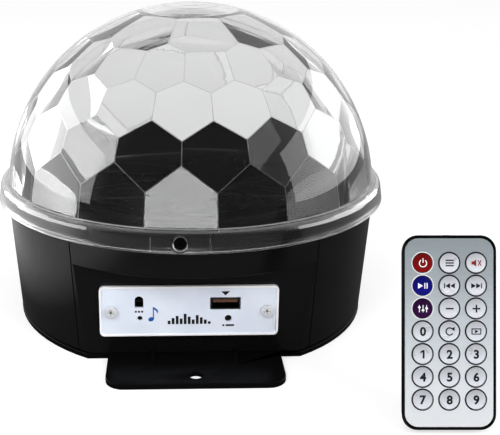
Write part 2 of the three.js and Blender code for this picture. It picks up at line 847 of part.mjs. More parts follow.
// The rocker's side view: two faces that dip to the middle, on a rounded foot about its pivot.
function switchRocker() {
  const half = rockerHeight / 2;
  const outline = new THREE.Shape();
  outline.moveTo(-half, rockerPivotDepth - rockerDip);
  outline.lineTo(-half, rockerPivotDepth - rockerThickness);
  outline.lineTo(-rockerThickness, -rockerThickness);
  outline.lineTo(rockerThickness, -rockerThickness);
  outline.lineTo(half, rockerPivotDepth - rockerThickness);
  outline.lineTo(half, rockerPivotDepth - rockerDip);
  outline.lineTo(half - rockerDip, rockerPivotDepth);
  outline.lineTo(0, rockerPivotDepth - rockerDip);
  outline.lineTo(rockerDip - half, rockerPivotDepth);
  const body = extruded(outline, rockerWidth).translate(0, 0, -rockerWidth / 2).rotateY(-quarterTurn);
  const pivot = new THREE.CylinderGeometry(rockerPivotRadius, rockerPivotRadius,
    rockerWidth + 2 * rockerPivotLength, smallSides).rotateZ(quarterTurn);
  return join(body, pivot).rotateX(degrees(rockerTilt));
}

addTo(light, "switch_body", switchBody(), mattBlack(), -rearDeviceX, -faceY, rearDeviceLevel);
addTo(light, "switch_rocker", switchRocker(), glossBlack(), -rearDeviceX,
  -faceY + switchFlange - rockerPivotDepth, rearDeviceLevel);

// Deck with the lamp windows, and what hangs under it

const lampTurns = ringTurns(lampCount);
const deckPostTurns = ringTurns(deckPostCount, Math.PI / deckPostCount);

function deck() {
  let tray = spunRing([
    [shaftHoleRadius, deckBottom],
    [deckRadius, deckBottom],
    [deckRadius, housingTop],
    [deckRadius - deckLipWall, housingTop],
    [deckRadius - deckLipWall, deckTop],
    [shaftHoleRadius, deckTop],
  ], ringSides);
  for (const turn of lampTurns) {
    const { x, y } = circlePlace(lampCircle, turn);
    const window = bar(lampWindowRadius, deckThickness + 2 * overrun, smallSides);
    tray = cut(tray, window.translate(x, y, deckBottom - overrun));
  }
  for (const turn of deckPostTurns) {
    const { x, y } = circlePlace(deckPostCircle, turn);
    const post = bar(deckPostRadius, deckPostLength + overrun);
    tray = join(tray, post.translate(x, y, deckBottom - deckPostLength));
  }
  return cut(tray, ...domeScrewHoles());
}

addTo(light, "deck", deck(), mattBlack());

function heatSink() {
  let sink = spunRing([
    [motorRadius + motorRoom, heatSinkTop - heatSinkPlate],
    [heatSinkRadius, heatSinkTop - heatSinkPlate],
    [heatSinkRadius, heatSinkTop],
    [motorRadius + motorRoom, heatSinkTop],
  ]);
  for (let i = 0; i < finCount; i += 1) {
    const x = (i - (finCount - 1) / 2) * finPitch;
    const length = 2 * Math.sqrt((heatSinkRadius - finThickness) ** 2 - x ** 2);
    const fin = block(finThickness, length, finHeight + heatSinkPlate / 2)
      .translate(x, 0, heatSinkTop - heatSinkPlate - finHeight);
    sink = join(sink, fin);
  }
  const motorBay = bar(motorRadius + motorRoom, finHeight + heatSinkPlate + 2 * overrun, roundSides);
  return cut(sink, motorBay.translate(0, 0, heatSinkTop - heatSinkPlate - finHeight - overrun));
}

addTo(light, "heat_sink", heatSink(), finish(0xc4c7ca, 0.4, 1));

function lampBoard() {
  let board = spunRing([
    [motorRadius + motorRoom, 0],
    [lampBoardRadius, 0],
    [lampBoardRadius, boardThickness],
    [motorRadius + motorRoom, boardThickness],
  ]);
  for (const turn of lampTurns) {
    const { x, y } = circlePlace(lampCircle, turn);
    const emitter = block(emitterWidth, emitterWidth, emitterHeight + boardThickness / 2);
    board = join(board, emitter.translate(x, y, boardThickness / 2));
  }
  return board;
}

addTo(light, "lamp_board", lampBoard(), finish(0xe8e8e4, 0.5), 0, 0, lampBoardBottom);

function lampLensRing() {
  let ring = spunRing([
    [lensPlateInner, -lensPlateThickness],
    [lensPlateOuter, -lensPlateThickness],
    [lensPlateOuter, 0],
    [lensPlateInner, 0],
  ]);
  const rise = deckThickness + clearance;
  for (const turn of lampTurns) {
    const { x, y } = circlePlace(lampCircle, turn);
    const lens = spun([
      [0, -lensPlateThickness - lensFootDepth],
      [lensFootRadius, -lensPlateThickness - lensFootDepth],
      [lensRadius, -lensPlateThickness / 2],
      [lensRadius, rise - lensCrown],
      [lensRadius / 2, rise - lensCrown / 4],
      [0, rise],
    ], smallSides);
    ring = join(ring, lens.translate(x, y, 0));
  }
  return ring;
}

addTo(light, "lamp_lens_ring", lampLensRing(), clearPlastic(), 0, 0, deckBottom - clearance);

// Motor, bracket, and the rotor that it turns

addTo(light, "motor", cut(
  bar(motorRadius, motorHeight, roundSides),
  bar(shaftRadius + clearance, motorBore + overrun).translate(0, 0, motorHeight - motorBore),
), steel(), 0, 0, motorTop - motorHeight);

function motorBracket() {
  const cross = block(bracketLength, bracketWidth, bracketThickness);
  const legs = [-1, 1].map((side) => block(bracketLegThickness, bracketWidth,
    bracketThickness + bracketDrop - clearance)
    .translate((side * (bracketLength - bracketLegThickness)) / 2, 0, 0));
  const hole = bar(shaftRadius + clearance, bracketThickness + 2 * overrun);
  return cut(join(cross, ...legs), hole.translate(0, 0, -overrun));
}

addTo(light, "motor_bracket", motorBracket(), steel(), 0, 0, motorTop + clearance);

const shaftBottom = motorTop - motorBore + clearance;
const hubTop = carrierBottom + hubHeight;
const shaftTop = hubTop - carrierThickness / 2;
addTo(light, "rotor_shaft", bar(shaftRadius, shaftTop - shaftBottom), steel(), 0, 0, shaftBottom);

const wheelLensTurns = ringTurns(wheelLensCount);

function rotorCarrier() {
  let carrier = join(
    bar(carrierRadius, carrierThickness, roundSides),
    bar(hubRadius, hubHeight, roundSides),
  );
  for (const turn of wheelLensTurns) {
    const { x, y } = circlePlace(wheelLensCircle, turn);
    const window = bar(wheelLensRadius, carrierThickness + 2 * overrun);
    carrier = cut(carrier, window.translate(x, y, -overrun));
  }
  const bore = bar(shaftRadius + clearance, shaftTop + clearance - carrierBottom + overrun);
  return cut(carrier, bore.translate(0, 0, -overrun));
}

addTo(light, "rotor_carrier", rotorCarrier(), mattBlack(), 0, 0, carrierBottom);

function lensWheel() {
  const edge = carrierRadius - wheelInset;
  let wheel = spunRing([
    [hubRadius + clearance, 0],
    [edge, 0],
    [edge, wheelThickness],
    [hubRadius + clearance, wheelThickness],
  ]);
  for (const turn of wheelLensTurns) {
    const { x, y } = circlePlace(wheelLensCircle, turn);
    const bump = spun([
      [0, wheelThickness / 2],
      [wheelLensRadius, wheelThickness / 2],
      [wheelLensRadius, wheelThickness],
      [wheelLensRadius / 2, wheelThickness + 3 * wheelLensCrown / 4],
      [0, wheelThickness + wheelLensCrown],
    ], smallSides);
    wheel = join(wheel, bump.translate(x, y, 0));
  }
  return wheel;
}

addTo(light, "lens_wheel", lensWheel(), clearPlastic(), 0, 0, carrierTop + clearance);

// Dome

// The dome's smooth outside, from a level above its sphere's middle.
function roundBall(foot) {
  const first = Math.asin(foot / domeRadius);
  const outline = [[0, foot]];
  for (let i = 0; i <= domeSteps; i += 1) {
    const rise = first + ((quarterTurn - first) * i) / domeSteps;
    outline.push([domeRadius * Math.cos(rise), domeRadius * Math.sin(rise)]);
  }
  return spun(outline, domeSides).translate(0, 0, domeCentre);
}

// A block trimmed by one plane for each facet of the dome's inside.
function facetedBall() {
  const side = 2 * domeRadius;
  let ball = toSolid(block(side, side, domeRadius + overrun).translate(0, 0, -overrun));
  for (const { polar, reachShare, halfStep, step } of facetRows) {
    const tilt = degrees(polar);
    const first = degrees(facetTurn) + (halfStep * Math.PI) / facetsRound;
    for (const turn of ringTurns(facetsRound / step, first)) {
      const { x, y } = circlePlace(Math.sin(tilt), turn);
      ball = ball.trimByPlane([-x, -y, -Math.cos(tilt)], -reachShare * facetSphere);
    }
  }
  ball = ball.trimByPlane([0, 0, -1], -capReachShare * facetSphere);
  return toGeometry(ball).translate(0, 0, domeCentre);
}

function dome() {
  const shoulder = [];
  for (let i = 0; i <= cornerSteps; i += 1) {
    const turn = (quarterTurn * i) / cornerSteps;
    shoulder.push([
      skirtRadius - skirtTaper - skirtShoulder * (1 - Math.cos(turn)),
      skirtTop - skirtShoulder * (1 - Math.sin(turn)),
    ]);
  }
  const wallBottom = skirtTop - domeCentre - domeCeiling / 2;
  const skirt = spunRing([
    [skirtInnerRadius, skirtBottom],
    [skirtRadius, skirtBottom],
    ...shoulder,
    [skirtInnerRadius - skirtWall, skirtTop],
    [skirtInnerRadius - skirtWall, ceilingBottom],
    [skirtInnerRadius, ceilingBottom],
  ], ringSides);
  const shell = cut(join(skirt, roundBall(wallBottom)), facetedBall());
  const seats = domeScrewTurns().map((turn) => radialBar(
    domeScrew.headRadius + screwClearance, skirtWall, turn, domeScrewSeat - clearance, domeScrewLevel,
  ));
  return cut(shell, ...domeScrewHoles(), ...seats);
}

addTo(light, "dome", dome(), clearPlastic());
domeScrewTurns().forEach((turn, i) => {
  const { x, y } = circlePlace(domeScrewSeat, turn);
  const laid = facingFront(screw(domeScrew)).rotateZ(turn);
  addTo(light, "dome_screw_" + (i + 1), laid, finish(0x1a1a1b, 0.35, 0.8), x, y, domeScrewLevel);
});

// Remote control: x to the right, z up from its lower end, y back from its face

const remote = new THREE.Group();
const remoteLift = remoteThickness * Math.sin(degrees(remoteLean));
remote.position.set(housingRadius + remoteRight, -(skirtRadius + remoteAhead), remoteLift);
remote.rotation.set(-degrees(remoteLean), 0, degrees(remoteTurn), "ZXY");
light.add(remote);

const pocketWidth = remoteWidth - 2 * remoteRim;
const pocketHeight = remoteHeight - 2 * remoteRim;
const wellWidth = pocketWidth - 2 * faceLedge;
const wellHeight = pocketHeight - 2 * faceLedge;

// A plate that stands in the XZ plane, from a depth behind the remote's face, centred on a height.
function upright(width, height, corner, front, thickness, middle) {
  return facingRear(plate(width, height, corner, thickness)).translate(0, front, middle);
}

function emitterLed(radius, extra) {
  const foot = remoteHeight - remoteCorner;
  const y = boardBackInRemote + emitterLedRadius / 2;
  return bar(radius, remoteHeight + extra - foot, smallSides).translate(0, y, foot);
}

// The case's outside, whose sides and upper end slope in towards the back.
function remoteOutside() {
  const outside = upright(remoteWidth, remoteHeight, remoteCorner, 0, remoteThickness, remoteHeight / 2);
  const place = outside.getAttribute("position");
  for (let i = 0; i < place.count; i += 1) {
    const taper = (remoteTaper * place.getY(i)) / remoteThickness;
    place.setX(i, place.getX(i) * (1 - (2 * taper) / remoteWidth));
    place.setZ(i, place.getZ(i) * (1 - taper / remoteHeight));
  }
  return outside;
}

function remoteCase() {
  const middle = remoteHeight / 2;
  const pocket = upright(pocketWidth, pocketHeight, remoteCorner - remoteRim, -overrun,
    overrun + faceThickness + clearance, middle);
  const well = upright(wellWidth, wellHeight, remoteCorner - remoteRim - faceLedge, 0,
    trayFront, middle);
  const trayBay = block(trayWidth + 2 * clearance, trayBack + clearance, trayLength + overrun)
    .translate(0, (trayBack + clearance) / 2, -overrun);
  const slot = cut(trayBay, block(remoteWidth, trayFront - clearance, remoteRim + faceLedge + overrun)
    .translate(0, (trayFront - clearance) / 2, -overrun));
  const bay = block(partsBayWidth, trayBack - trayFront + clearance + remoteBoardThickness, partsBayHeight)
    .translate(0, (trayBack + clearance + trayFront - remoteBoardThickness) / 2,
      remoteHeight - remoteCorner - partsBayHeight);
  return cut(remoteOutside(), pocket, well, slot, bay, emitterLed(emitterLedRadius + clearance, overrun));
}

addTo(remote, "remote_case", remoteCase(), mattBlack());

const keyPlaces = keyNames.flatMap((row, r) => row.map((name, c) => ({
  name,
  x: (c - 1) * keyColumnPitch,
  z: lowestKeyRow + r * keyRowPitch,
})));

function remoteFace() {
  const gap = 2 * clearance;
  const face = upright(pocketWidth - gap, pocketHeight - gap, remoteCorner - remoteRim, 0,
    faceThickness, remoteHeight / 2);
  const holes = keyPlaces.map(({ x, z }) => facingRear(
    bar(keyRadius + clearance, faceThickness + 2 * overrun),
  ).translate(x, -overrun, z));
  return cut(face, ...holes);
}

addTo(remote, "remote_face", remoteFace(), finish(0xbfc3cc, 0.35, 0.6));

function remoteBoard() {
  const gap = 2 * clearance;
  const front = boardBackInRemote - remoteBoardThickness;
  const board = upright(wellWidth - gap, wellHeight - gap, remoteCorner - remoteRim - faceLedge, front,
    remoteBoardThickness, remoteHeight / 2);
  return join(board, emitterLed(emitterLedRadius, emitterLedStand));
}

addTo(remote, "remote_board", remoteBoard(), circuitGreen());

function key() {
  const front = faceThickness + keyStand;
  return facingFront(spun([
    [0, -clearance - keyFlange],
    [keyRadius + keyFlange, -clearance - keyFlange],
    [keyRadius + keyFlange, -clearance],
    [keyRadius, -clearance],
    [keyRadius, front],
    [(2 * keyRadius) / 3, front + (2 * keyCrown) / 3],
    [0, front + keyCrown],
  ], smallSides));
}

for (const { name, x, z } of keyPlaces) {
  const colour = keyColours[name] ?? 0xd4d7de;
  addTo(remote, name, key(), finish(colour, 0.25, 0.2), x, faceThickness, z);
}

function batteryTray() {
  const width = trayWidth;
  const body = block(width, trayThickness, trayLength - clearance).translate(0, trayThickness / 2, 0);
  const grip = block(trayGripWidth, trayThickness, trayGripHeight);
  const pocket = facingRear(bar(cellRadius + clearance, trayThickness - trayFloor + overrun, roundSides))
    .translate(0, -overrun, cellRise);
  const notch = grip.translate(0, trayThickness / 2 + remoteBack, -trayGripHeight / 2);
  return cut(body, pocket, notch);
}

addTo(remote, "battery_tray", batteryTray(), mattBlack(), 0, trayFront, 0);
addTo(remote, "coin_cell", facingRear(bar(cellRadius, cellThickness, roundSides)), steel(), 0,
  trayFront, cellRise);

export default light;
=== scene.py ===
import math

import bmesh
import bpy
import numpy as np
from mathutils import Matrix, Vector


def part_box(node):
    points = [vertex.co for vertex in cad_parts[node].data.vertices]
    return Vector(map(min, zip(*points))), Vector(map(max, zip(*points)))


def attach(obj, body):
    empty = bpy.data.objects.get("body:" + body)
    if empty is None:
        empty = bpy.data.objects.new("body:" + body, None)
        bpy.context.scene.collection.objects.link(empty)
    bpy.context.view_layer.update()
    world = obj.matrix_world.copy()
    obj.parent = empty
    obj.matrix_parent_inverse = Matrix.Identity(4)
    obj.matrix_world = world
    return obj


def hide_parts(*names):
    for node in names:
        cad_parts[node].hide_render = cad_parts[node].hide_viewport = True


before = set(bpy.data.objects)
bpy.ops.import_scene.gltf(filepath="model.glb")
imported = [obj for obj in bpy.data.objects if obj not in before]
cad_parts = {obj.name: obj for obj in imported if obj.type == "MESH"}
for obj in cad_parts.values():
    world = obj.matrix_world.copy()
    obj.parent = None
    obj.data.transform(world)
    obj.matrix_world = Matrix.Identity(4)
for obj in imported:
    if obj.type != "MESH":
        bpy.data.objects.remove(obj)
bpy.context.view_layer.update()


# Base plate
# The flat foot of the light, moulded in black ABS with an ear in front and behind. Two ribs stiffen each
# ear, and each has a hole for a wall or ceiling screw. Four screws hold it under the housing.

mm = 0.001


class Wire:
    """A node's socket. Sums on sockets add Math nodes, and node() adds any other node."""

    def __init__(self, tree, socket=None):
        self.tree, self.socket = tree, socket

    def node(self, kind, settings=None, inputs=None, output=0):
        """A new node with these settings, and with these values or links in its sockets."""
        made = self.tree.nodes.new(kind)
        for name, value in (settings or {}).items():
            if name == "stops":
                ramp = made.color_ramp.elements
                while len(ramp) < len(value):
                    ramp.new(1.0)
                for stop, (place, shade) in zip(ramp, value):
                    stop.position, stop.color = place, (*[shade] * 3, 1.0)
            else:
                setattr(made, name, value)
        for name, value in (inputs or {}).items():
            for one in value if isinstance(value, list) else [value]:
                if isinstance(one, Wire):
                    self.tree.links.new(one.socket, made.inputs[name])
                else:
                    made.inputs[name].default_value = one
        return Wire(self.tree, made.outputs[output] if made.outputs else None)

    def other(self, output):
        """Another output of the same node."""
        return Wire(self.tree, self.socket.node.outputs[output])

    def maths(self, operation, first, second):
        return self.node("ShaderNodeMath", {"operation": operation}, {0: first, 1: second})

    def mix(self, first, second):
        """The first colour where this value is 0, and the second where it is 1."""
        return self.node("ShaderNodeMix", {"data_type": "RGBA"}, {0: self, 6: first, 7: second}, 2)

    def __add__(self, other):
        return self.maths("ADD", self, other)

    def __sub__(self, other):
        return self.maths("SUBTRACT", self, other)

    def __rsub__(self, other):
        return self.maths("SUBTRACT", other, self)

    def __mul__(self, other):
        return self.maths("MULTIPLY", self, other)

    def __truediv__(self, other):
        return self.maths("DIVIDE", self, other)

    def __gt__(self, other):
        return self.maths("GREATER_THAN", self, other)

    def __lt__(self, other):
        return self.maths("LESS_THAN", self, other)

    __radd__ = __add__
    __rmul__ = __mul__


def surface(name):
    """A new material, and the object's own coordinates in its node tree."""
    material = bpy.data.materials.new(name)
    material.use_nodes = True
    material.node_tree.nodes.clear()
    return material, Wire(material.node_tree).node("ShaderNodeTexCoord", output="Object")


def noise(at, scale, detail, distortion=0.0):
    """Soft random patches at these coordinates, from 0 to 1."""
    return at.node("ShaderNodeTexNoise", {}, {
        "Vector": at, "Scale": scale, "Detail": detail, "Distortion": distortion})


def relief_from(height, strength, depth):
    """A bump that follows a pattern, with its depth in millimetres."""
    return height.node("ShaderNodeBump", {}, {"Strength": strength, "Distance": depth * mm, "Height": height})


def skinned(material, sockets):
    """The material with a shader that has these values and links."""
    tree = Wire(material.node_tree)
    shader = tree.node("ShaderNodeBsdfPrincipled", {}, sockets)
    tree.node("ShaderNodeOutputMaterial", {}, {"Surface": shader})
    return material


def rgb(shade, scale=1.0):
    """A colour as a socket holds it, from 0 to 255 as a screen shows it."""
    linear = [((c / 255 + 0.055) / 1.055) ** 2.4 if c > 10 else c / 255 / 12.92 for c in shade]
    return (*[min(1.0, c * scale) for c in linear], 1.0)


def moulded(name, shade, roughness, spread=0.08, grain=900.0, relief=0.02, **fixed):
    """A moulded skin: clouds in the colour, smears in the gloss, and a fine grain."""
    material, at = surface(name)
    clouds = noise(at, 55.0, 4.0)
    smears = noise(at, 140.0, 5.0, 1.2)
    skin = noise(at, grain, 2.0)
    bump = relief_from(skin, 0.6, relief)
    return skinned(material, {
        "Base Color": clouds.mix(rgb(shade, 0.82), rgb(shade, 1.18)),
        "Roughness": roughness + (smears - 0.5) * spread, "Normal": bump, **fixed})


def copied(node):
    """A merged copy of a solid's mesh in millimetres, with its flat faces whole."""
    form = bmesh.new()
    form.from_mesh(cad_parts[node].data)
    bmesh.ops.scale(form, vec=(1 / mm,) * 3, verts=form.verts)
    bmesh.ops.remove_doubles(form, verts=form.verts, dist=0.001)
    bmesh.ops.dissolve_limit(form, angle_limit=math.radians(0.5), verts=form.verts, edges=form.edges)
    return form


def finished(name, form, materials, body, nodes, edge=0.0, steps=2, crease=32):
    """A mesh in millimetres becomes a piece in metres that rides on its body, with its edges softened.

    Without an edge width, angles over the crease stay sharp and the rest are shaded smooth.
    """
    bmesh.ops.scale(form, vec=(mm,) * 3, verts=form.verts)
    mesh = bpy.data.meshes.new(name)
    form.to_mesh(mesh)
    form.free()
    for face in mesh.polygons:
        face.use_smooth = True
    for material in materials:
        mesh.materials.append(material)
    piece = bpy.data.objects.new(name, mesh)
    bpy.context.collection.objects.link(piece)
    if edge:
        rounding = piece.modifiers.new("softened edges", "BEVEL")
        rounding.width, rounding.segments = edge * mm, steps
        rounding.limit_method, rounding.angle_limit = "ANGLE", math.radians(32)
        rounding.use_clamp_overlap, rounding.harden_normals = False, True
    else:
        mesh.set_sharp_from_angle(angle=math.radians(crease))
    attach(piece, body)
    if nodes:
        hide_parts(*nodes)
    return piece


base_black = moulded("satin black ABS", (9, 9, 10), 0.32, spread=0.1, relief=0.015,
                     **{"Specular IOR Level": 0.06})
finished("base", copied("base_plate"), [base_black], "lamp", ["base_plate"],
         edge=0.35, steps=3)


# Base screws
# Four pan-head steel screws, sunk in counterbores from below, with a cross recess in each head.
# They draw the base plate up against the bosses inside the housing.

weld = 0.0005


def grown(name, sizes, build, material):
    """What a Geometry Nodes tree makes of these sizes, as a mesh in millimetres."""
    tree = bpy.data.node_groups.new(name, "GeometryNodeTree")
    tree.interface.new_socket("Geometry", in_out="OUTPUT", socket_type="NodeSocketGeometry")
    sockets = {key: tree.interface.new_socket(key, in_out="INPUT", socket_type=(
        "NodeSocketInt" if isinstance(value, int) else "NodeSocketFloat")) for key, value in sizes.items()}
    entry = Wire(tree).node("NodeGroupInput")
    made = build({key: entry.other(key) for key in sizes})
    made = made.node("GeometryNodeRealizeInstances", {}, {"Geometry": made})
    made = made.node("GeometryNodeSetMaterial", {}, {"Geometry": made, "Material": material})
    made.node("NodeGroupOutput", {}, {"Geometry": made})
    host = bpy.data.objects.new(name, bpy.data.meshes.new(name))
    bpy.context.collection.objects.link(host)
    growth = host.modifiers.new(name, "NODES")
    growth.node_group = tree
    for key, value in sizes.items():
        growth[sockets[key].identifier] = value
    depsgraph = bpy.context.evaluated_depsgraph_get()
    mesh = bpy.data.meshes.new_from_object(host.evaluated_get(depsgraph))
    bpy.data.objects.remove(host)
    form = bmesh.new()
    form.from_mesh(mesh)
    bmesh.ops.remove_doubles(form, verts=form.verts, dist=weld)
    return form


def screw_tree(size):
    """A screw along Z: a shank, a crowned head, and a cross cut into the head."""
    radius = size["head radius"]
    shank = radius.node("GeometryNodeMeshCylinder", {}, {
        "Vertices": 24, "Radius": size["shank radius"], "Depth": size["length"]})
    down = radius.node("ShaderNodeCombineXYZ", {}, {"Z": size["length"] * -0.5 + 0.1})
    shank = radius.node("GeometryNodeTransform", {}, {"Geometry": shank, "Translation": down})
    rim = radius.node("GeometryNodeMeshCylinder", {}, {
        "Vertices": 48, "Radius": radius, "Depth": size["head height"]})
    rim = radius.node("GeometryNodeTransform", {}, {
        "Geometry": rim,
        "Translation": radius.node("ShaderNodeCombineXYZ", {}, {"Z": size["head height"] * 0.5})})
    crown = radius.node("GeometryNodeMeshUVSphere", {}, {
        "Segments": 48, "Rings": 16, "Radius": radius * 0.97})
    crown = radius.node("GeometryNodeTransform", {}, {
        "Geometry": crown,
        "Scale": radius.node("ShaderNodeCombineXYZ", {}, {"X": 1.0, "Y": 1.0, "Z": size["crown"] / radius}),
        "Translation": radius.node("ShaderNodeCombineXYZ", {}, {"Z": size["head height"] - 0.02})})
    wings = []
    for wide, long in ((0.8, 2.5), (2.5, 0.8)):
        box = radius.node("GeometryNodeMeshCube", {}, {"Size": radius.node("ShaderNodeCombineXYZ", {}, {
            "X": wide * radius * 0.42, "Y": long * radius * 0.42, "Z": 1.5})})
        wings.append(radius.node("GeometryNodeTransform", {}, {
            "Geometry": box, "Translation": radius.node("ShaderNodeCombineXYZ", {}, {
                "Z": size["head height"] + size["crown"] + 0.05})}))
    solid = radius.node("GeometryNodeMeshBoolean", {"operation": "UNION"}, {"Mesh 2": [shank, rim, crown]})
    return radius.node("GeometryNodeMeshBoolean", {"operation": "DIFFERENCE"}, {
        "Mesh 1": solid, "Mesh 2": wings})


def metal(name, shade, roughness, stretch=(1.0, 1.0, 1.0), **fixed):
    """A worked metal: fine drawn or turned lines in the gloss and relief, and faint staining."""
    material, at = surface(name)
    drawn = at.node("ShaderNodeMapping", {}, {"Vector": at, "Scale": stretch})
    lines = noise(drawn, 500.0, 5.0)
    stain = noise(at, 160.0, 3.0)
    bump = relief_from(lines, 0.5, 0.01)
    return skinned(material, {
        "Base Color": stain.mix(rgb(shade, 0.8), rgb(shade, 1.15)), "Metallic": 1.0,
        "Roughness": roughness + (lines - 0.5) * 0.14, "Normal": bump, **fixed})


def centre(node):
    """The middle of a solid's box in millimetres."""
    low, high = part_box(node)
    return (low + high) / (2 * mm)


steel = metal("bright steel", (200, 203, 207), 0.3)
base_head = {"head radius": 3.0, "head height": 1.0, "shank radius": 1.6, "length": 9.0, "crown": 0.4}
for number in range(1, 5):
    form = grown("base screw tree", base_head, screw_tree, steel)
    place = centre("base_screw_%d" % number)
    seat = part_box("base_screw_%d" % number)[0].z / mm + base_head["head height"] + base_head["crown"]
    bmesh.ops.transform(form, verts=form.verts, matrix=Matrix.Translation((place.x, place.y, seat))
                        @ Matrix.Rotation(math.pi, 4, "X"))
    finished("base_screw_set_%d" % number, form, [steel], "lamp", ["base_screw_%d" % number])


# Housing: front fascia and rear housing
# One slightly conical drum in glossy black ABS with a flat face in front and behind, moulded in two and
# joined at a seam on each side. Its full round top carries the deck, and the dome's skirt covers its edge.

housing_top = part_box("rear_housing")[1].z / mm
band_bottom = housing_top - 20.0
ledge_top = housing_top - 10.6
housing_radius, foot_radius, foot_level, foot_bevel = 91.8, 88.0, 2.8, 0.8
upright_edge = 8.0
room_radius, room_top_radius, ledge_radius, rim_radius = 85.5, 89.3, 85.8, 89.2
ledge_thickness, ledge_slope = 2.5, 5.9
face_y, wall = 73.4, 2.5
seam_angle = math.radians(36.8)
seam_shift = 0.25
overrun = 2.0
most_materials = 4
black_gloss = moulded("black gloss ABS", (11, 11, 12), 0.2, spread=0.1, grain=700.0, relief=0.004,
                      **{"Specular IOR Level": 0.45})


def round_turns(count, first=0.0):
    """The angles of a number of places spaced evenly round a circle."""
    return [first + 2 * math.pi * k / count for k in range(count)]


def turned(profile, sides=144):
    """A closed outline of (radius, height) points turned about Z. Points on the axis close it."""
    form = bmesh.new()
    rings = []
    for radius, height in profile:
        if radius < 1e-6:
            rings.append([form.verts.new((0, 0, height))] * sides)
        else:
            rings.append([form.verts.new((radius * math.cos(t), radius * math.sin(t), height))
                          for t in round_turns(sides)])
    for one, next_one in zip(rings, rings[1:] + rings[:1]):
        for k in range(sides):
            corners = [one[k - 1], one[k], next_one[k], next_one[k - 1]]
            corners = [c for i, c in enumerate(corners) if c not in corners[:i]]
            if len(corners) > 2:
                form.faces.new(corners)
    bmesh.ops.recalc_face_normals(form, faces=form.faces)
    return form


def slab(low, high):
    """A block between two corners."""
    form = bmesh.new()
    bmesh.ops.create_cube(form, size=1.0)
    low, high = Vector(low), Vector(high)
    bmesh.ops.scale(form, vec=high - low, verts=form.verts)
    bmesh.ops.translate(form, vec=(low + high) / 2, verts=form.verts)
    return form


def prism(outline, depth):
    """An outline of (x, y) points, anticlockwise, raised along Z from 0."""
    form = bmesh.new()
    low, high = ([form.verts.new((x, y, z)) for x, y in outline] for z in (0.0, depth))
    form.faces.new(low[::-1])
    form.faces.new(high)
    for k in range(len(low)):
        form.faces.new((low[k - 1], low[k], high[k], high[k - 1]))
    return form


def moved(form, matrix):
    """The form itself, put in another place."""
    bmesh.ops.transform(form, verts=form.verts, matrix=matrix)
    return form


def together(forms):
    """Separate forms as one mesh."""
    whole = bmesh.new()
    for form in forms:
        mesh = bpy.data.meshes.new("part")
        form.to_mesh(mesh)
        form.free()
        whole.from_mesh(mesh)
    return whole


def carved(form, tool, operation="DIFFERENCE"):
    """The form with the tool taken away, joined on, or kept in common."""
    objects = []
    for one in (form, tool):
        mesh = bpy.data.meshes.new("carved")
        one.to_mesh(mesh)
        one.free()
        for _ in range(most_materials):
            mesh.materials.append(None)
        objects.append(bpy.data.objects.new("carved", mesh))
        bpy.context.collection.objects.link(objects[-1])
    step = objects[0].modifiers.new("carve", "BOOLEAN")
    step.operation, step.solver, step.object = operation, "EXACT", objects[1]
    depsgraph = bpy.context.evaluated_depsgraph_get()
    result = bmesh.new()
    result.from_mesh(bpy.data.meshes.new_from_object(objects[0].evaluated_get(depsgraph)))
    for one in objects:
        bpy.data.objects.remove(one)
    bmesh.ops.remove_doubles(result, verts=result.verts, dist=weld)
    bmesh.ops.dissolve_limit(result, angle_limit=math.radians(0.3), verts=result.verts, edges=result.edges)
    return result


def beyond_faces(y, top):
    """All that lies in front of and behind two flat faces, up to the round band."""
    wide, deep, low = 100.0, 110.0, -9.0
    return together([slab((-wide, -deep, low), (wide, -y, top)), slab((-wide, y, low), (wide, deep, top))])


def housing_shell():
    """Both mouldings as one: the drum with its flat faces, less the room inside."""
    drum = turned([(0, foot_level), (foot_radius - foot_bevel, foot_level),
                   (foot_radius, foot_level + foot_bevel), (housing_radius, housing_top - upright_edge),
                   (housing_radius, housing_top), (0, housing_top)])
    room = turned([(0, 1.0), (room_radius, 1.0), (room_radius, foot_level),
                   (room_top_radius, ledge_top - ledge_slope), (ledge_radius, ledge_top - ledge_thickness),
                   (ledge_radius, ledge_top), (rim_radius, ledge_top),
                   (rim_radius, housing_top + overrun), (0, housing_top + overrun)])
    drum = carved(drum, beyond_faces(face_y, band_bottom))
    room = carved(room, beyond_faces(face_y - wall, band_bottom + wall))
    return carved(drum, room)


def seam_wedge(shift):
    """The space in front of the two seams, which lie on upright planes that meet near the axis."""
    reach, height = 150.0, 75.0
    side = reach * math.tan(seam_angle)
    return moved(prism([(0, 0), (-side, -reach), (side, -reach)], height), Matrix.Translation((0, shift, 0)))


def rounded(width, height, corner, steps=8):
    """The outline of a rectangle with rounded corners, round the origin."""
    points = []
    for k, (sx, sy) in enumerate(((1, -1), (1, 1), (-1, 1), (-1, -1))):
        for i in range(steps + 1):
            turn = (k - 1 + i / steps) * math.pi / 2
            points.append((sx * (width / 2 - corner) + corner * math.cos(turn),
                           sy * (height / 2 - corner) + corner * math.sin(turn)))
    return points


facing_front = Matrix.Rotation(math.pi / 2, 4, "X")
facing_rear = Matrix.Rotation(-math.pi / 2, 4, "X")


def circle(radius, sides=32):
    """A circle round the origin as an outline."""
    return [(radius * math.cos(t), radius * math.sin(t)) for t in round_turns(sides)]


def disc(radius, depth, sides=32):
    """A round bar along Z from 0."""
    return prism(circle(radius, sides), depth)


panel_x, panel_level = -2.5, centre("front_panel").z
cut_start, cut_depth = 68.0, 9.0
window_width, window_height, window_corner = 56.0, 17.0, 2.2
fascia = carved(housing_shell(), seam_wedge(-seam_shift), "INTERSECT")
window = moved(prism(rounded(window_width, window_height, window_corner), cut_depth),
               Matrix.Translation((panel_x, -cut_start, panel_level)) @ facing_front)
finished("fascia", carved(fascia, window), [black_gloss], "lamp", ["front_fascia"],
         edge=0.3, steps=3)

